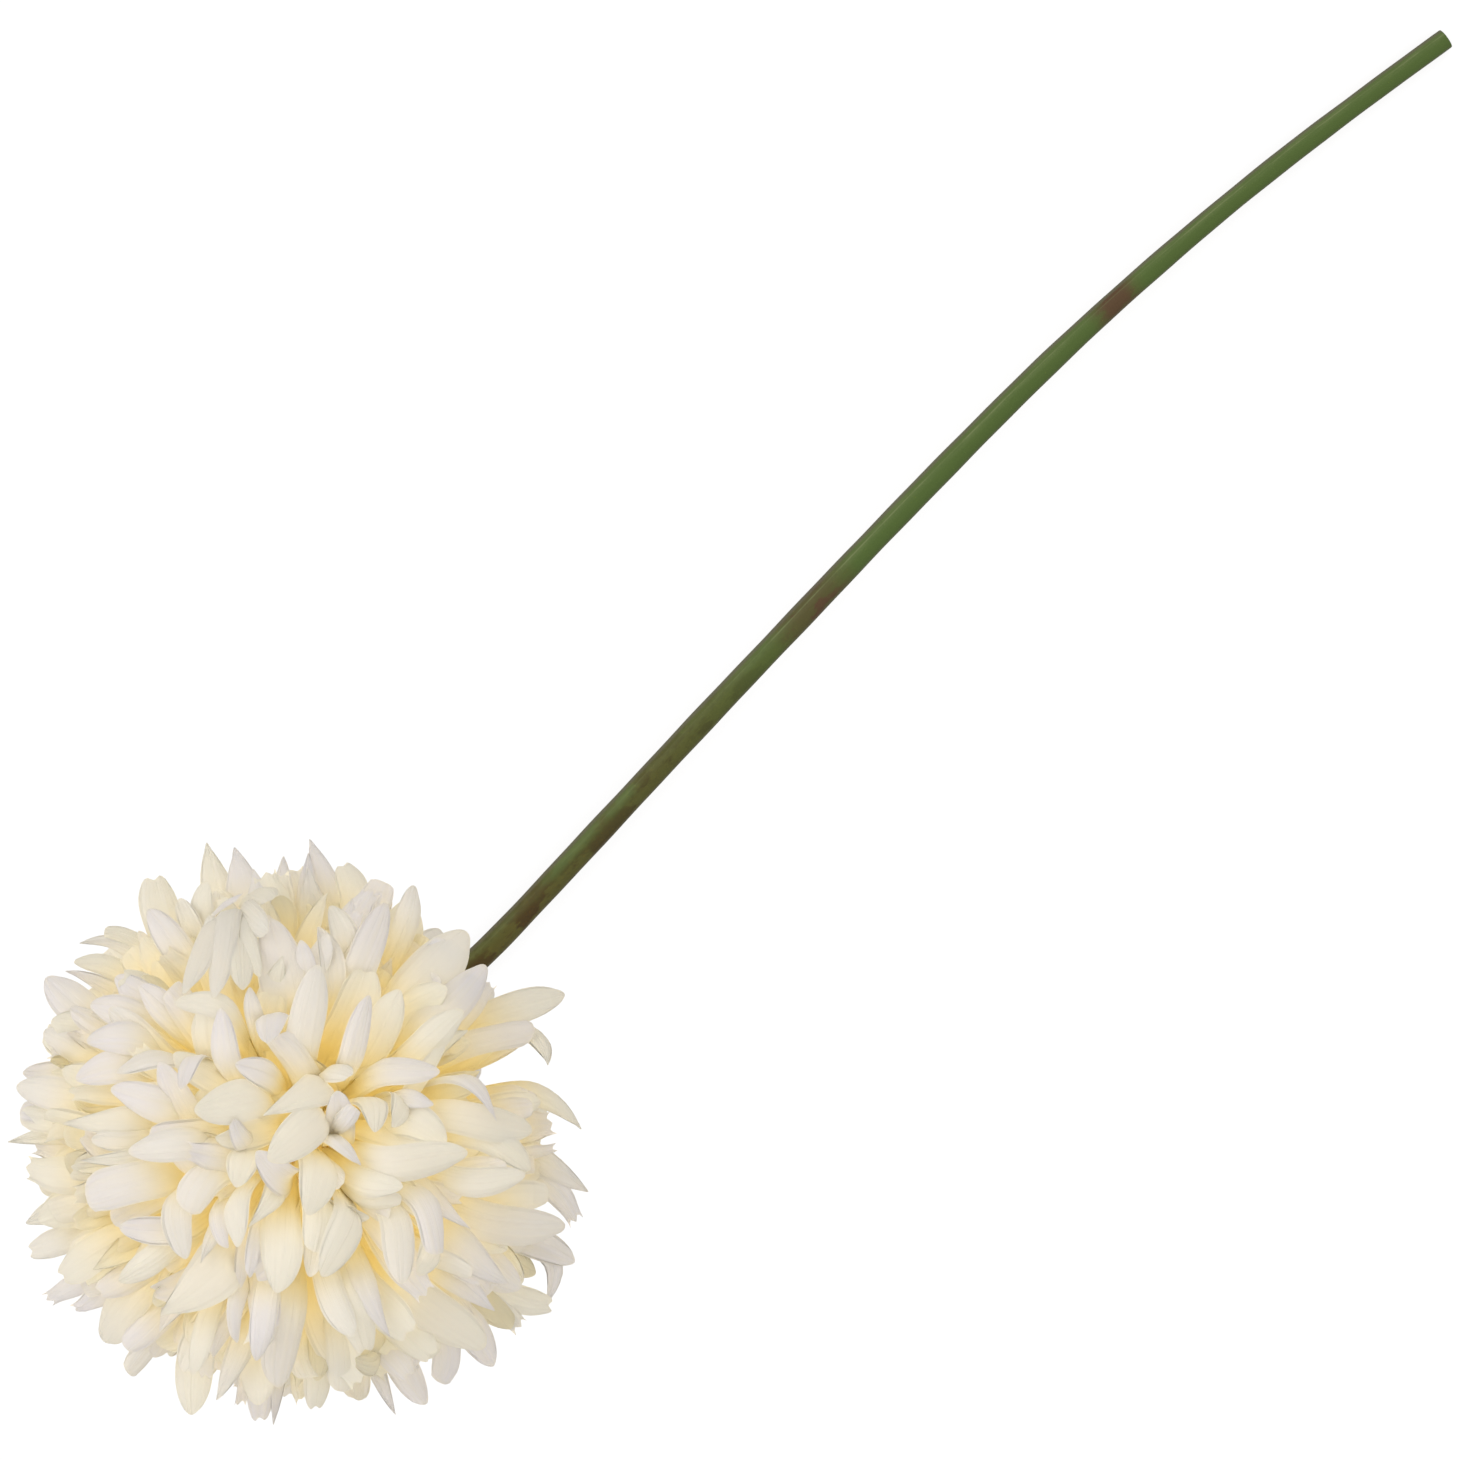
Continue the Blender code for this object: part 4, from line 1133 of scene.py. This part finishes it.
# The floor glows evenly for the camera, with a soft shade close to what lies on it. For all other
# light it is a plain pale floor.
def makeFloorMaterial():
    material, tree, shader = newMaterial("paleFloor")
    paper = addNode(tree, "ShaderNodeTexNoise", {"Vector": objectPlace(tree), "Scale": 3.0, "Detail": 3.0})
    plain = mixColours(tree, paper.outputs["Fac"], studio["floorColour"], studio["paperShade"])
    near = addNode(tree, "ShaderNodeAmbientOcclusion", {"Distance": studio["shadeReach"]}, samples=4)
    glow = addNode(tree, "ShaderNodeEmission", {
        "Color": mixColours(tree, near.outputs["AO"], studio["floorShade"], plain),
        "Strength": studio["floorStrength"],
    })
    feed(tree, shader, {"Base Color": (*studio["floorBounce"], 1.0), "Roughness": studio["floorRoughness"]})
    forCamera = addNode(tree, "ShaderNodeLightPath").outputs["Is Camera Ray"]
    blendShaders(tree, forCamera, shader.outputs["BSDF"], glow.outputs["Emission"])
    return material


def makeStudio():
    scene = bpy.context.scene
    scene.view_settings.view_transform = "Standard"
    scene.cycles.use_fast_gi = True
    scene.cycles.fast_gi_method = "REPLACE"
    scene.cycles.ao_bounces_render = studio["ambientAfter"]
    world = bpy.data.worlds.new("studio")
    scene.world = world
    world.use_nodes = True
    feed(world.node_tree, world.node_tree.nodes["Background"],
         {"Color": (1.0, 1.0, 1.0, 1.0), "Strength": studio["world"]})
    world.light_settings.distance = studio["ambientReach"]
    world.light_settings.ao_factor = studio["ambient"]
    half = 0.5 * studio["floorSize"]
    corners = np.array(((-half, -half), (half, -half), (half, half), (-half, half)))
    points = np.column_stack((corners, np.full(4, -studio["floorDrop"])))
    floor = makePiece("floor", points, np.array(((0, 1, 2, 3),)), corners, {}, makeFloorMaterial())
    for light in studio["lights"]:
        data = bpy.data.lights.new(light["name"], "AREA")
        data.energy = light["power"]
        data.color = light["colour"]
        data.size = light["size"]
        lamp = bpy.data.objects.new(light["name"], data)
        lamp.location = Vector((eye[0], eye[1], centre[2])) + Vector(light["at"])
        lamp.rotation_euler = Vector(light["at"]).to_track_quat("Z", "Y").to_euler()
        scene.collection.objects.link(lamp)
    data = bpy.data.cameras.new("camera")
    data.lens = studio["lens"]
    data.clip_start, data.clip_end = studio["clip"]
    camera = bpy.data.objects.new("camera", data)
    camera.location = eye
    camera.rotation_euler = (0.0, 0.0, studio["cameraTurn"])
    scene.collection.objects.link(camera)
    scene.camera = camera
    print("studio ready")


mottleGroup = makeMottleGroup()
petalGroup = makePetalGroup()
makeStudio()
petalPieces = makePetals(makePetalMaterial(petalGroup, mottleGroup))
petalPieces.append(makeCore(makeSpottedMaterial("headCore", coreLook, mottleGroup)))
for piece in petalPieces:
    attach(piece, "root")
    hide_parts("bloom")
calyxMaterial = makeSpottedMaterial("calyxGreen", calyxLook, mottleGroup)
for piece in (makeCup(calyxMaterial), makeScales(calyxMaterial)):
    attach(piece, "root")
    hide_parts("calyx")
print("calyx ready")
stemPiece = makeStem(makeStemMaterial(mottleGroup))
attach(stemPiece, "root")
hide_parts("stem")
print("stem ready")
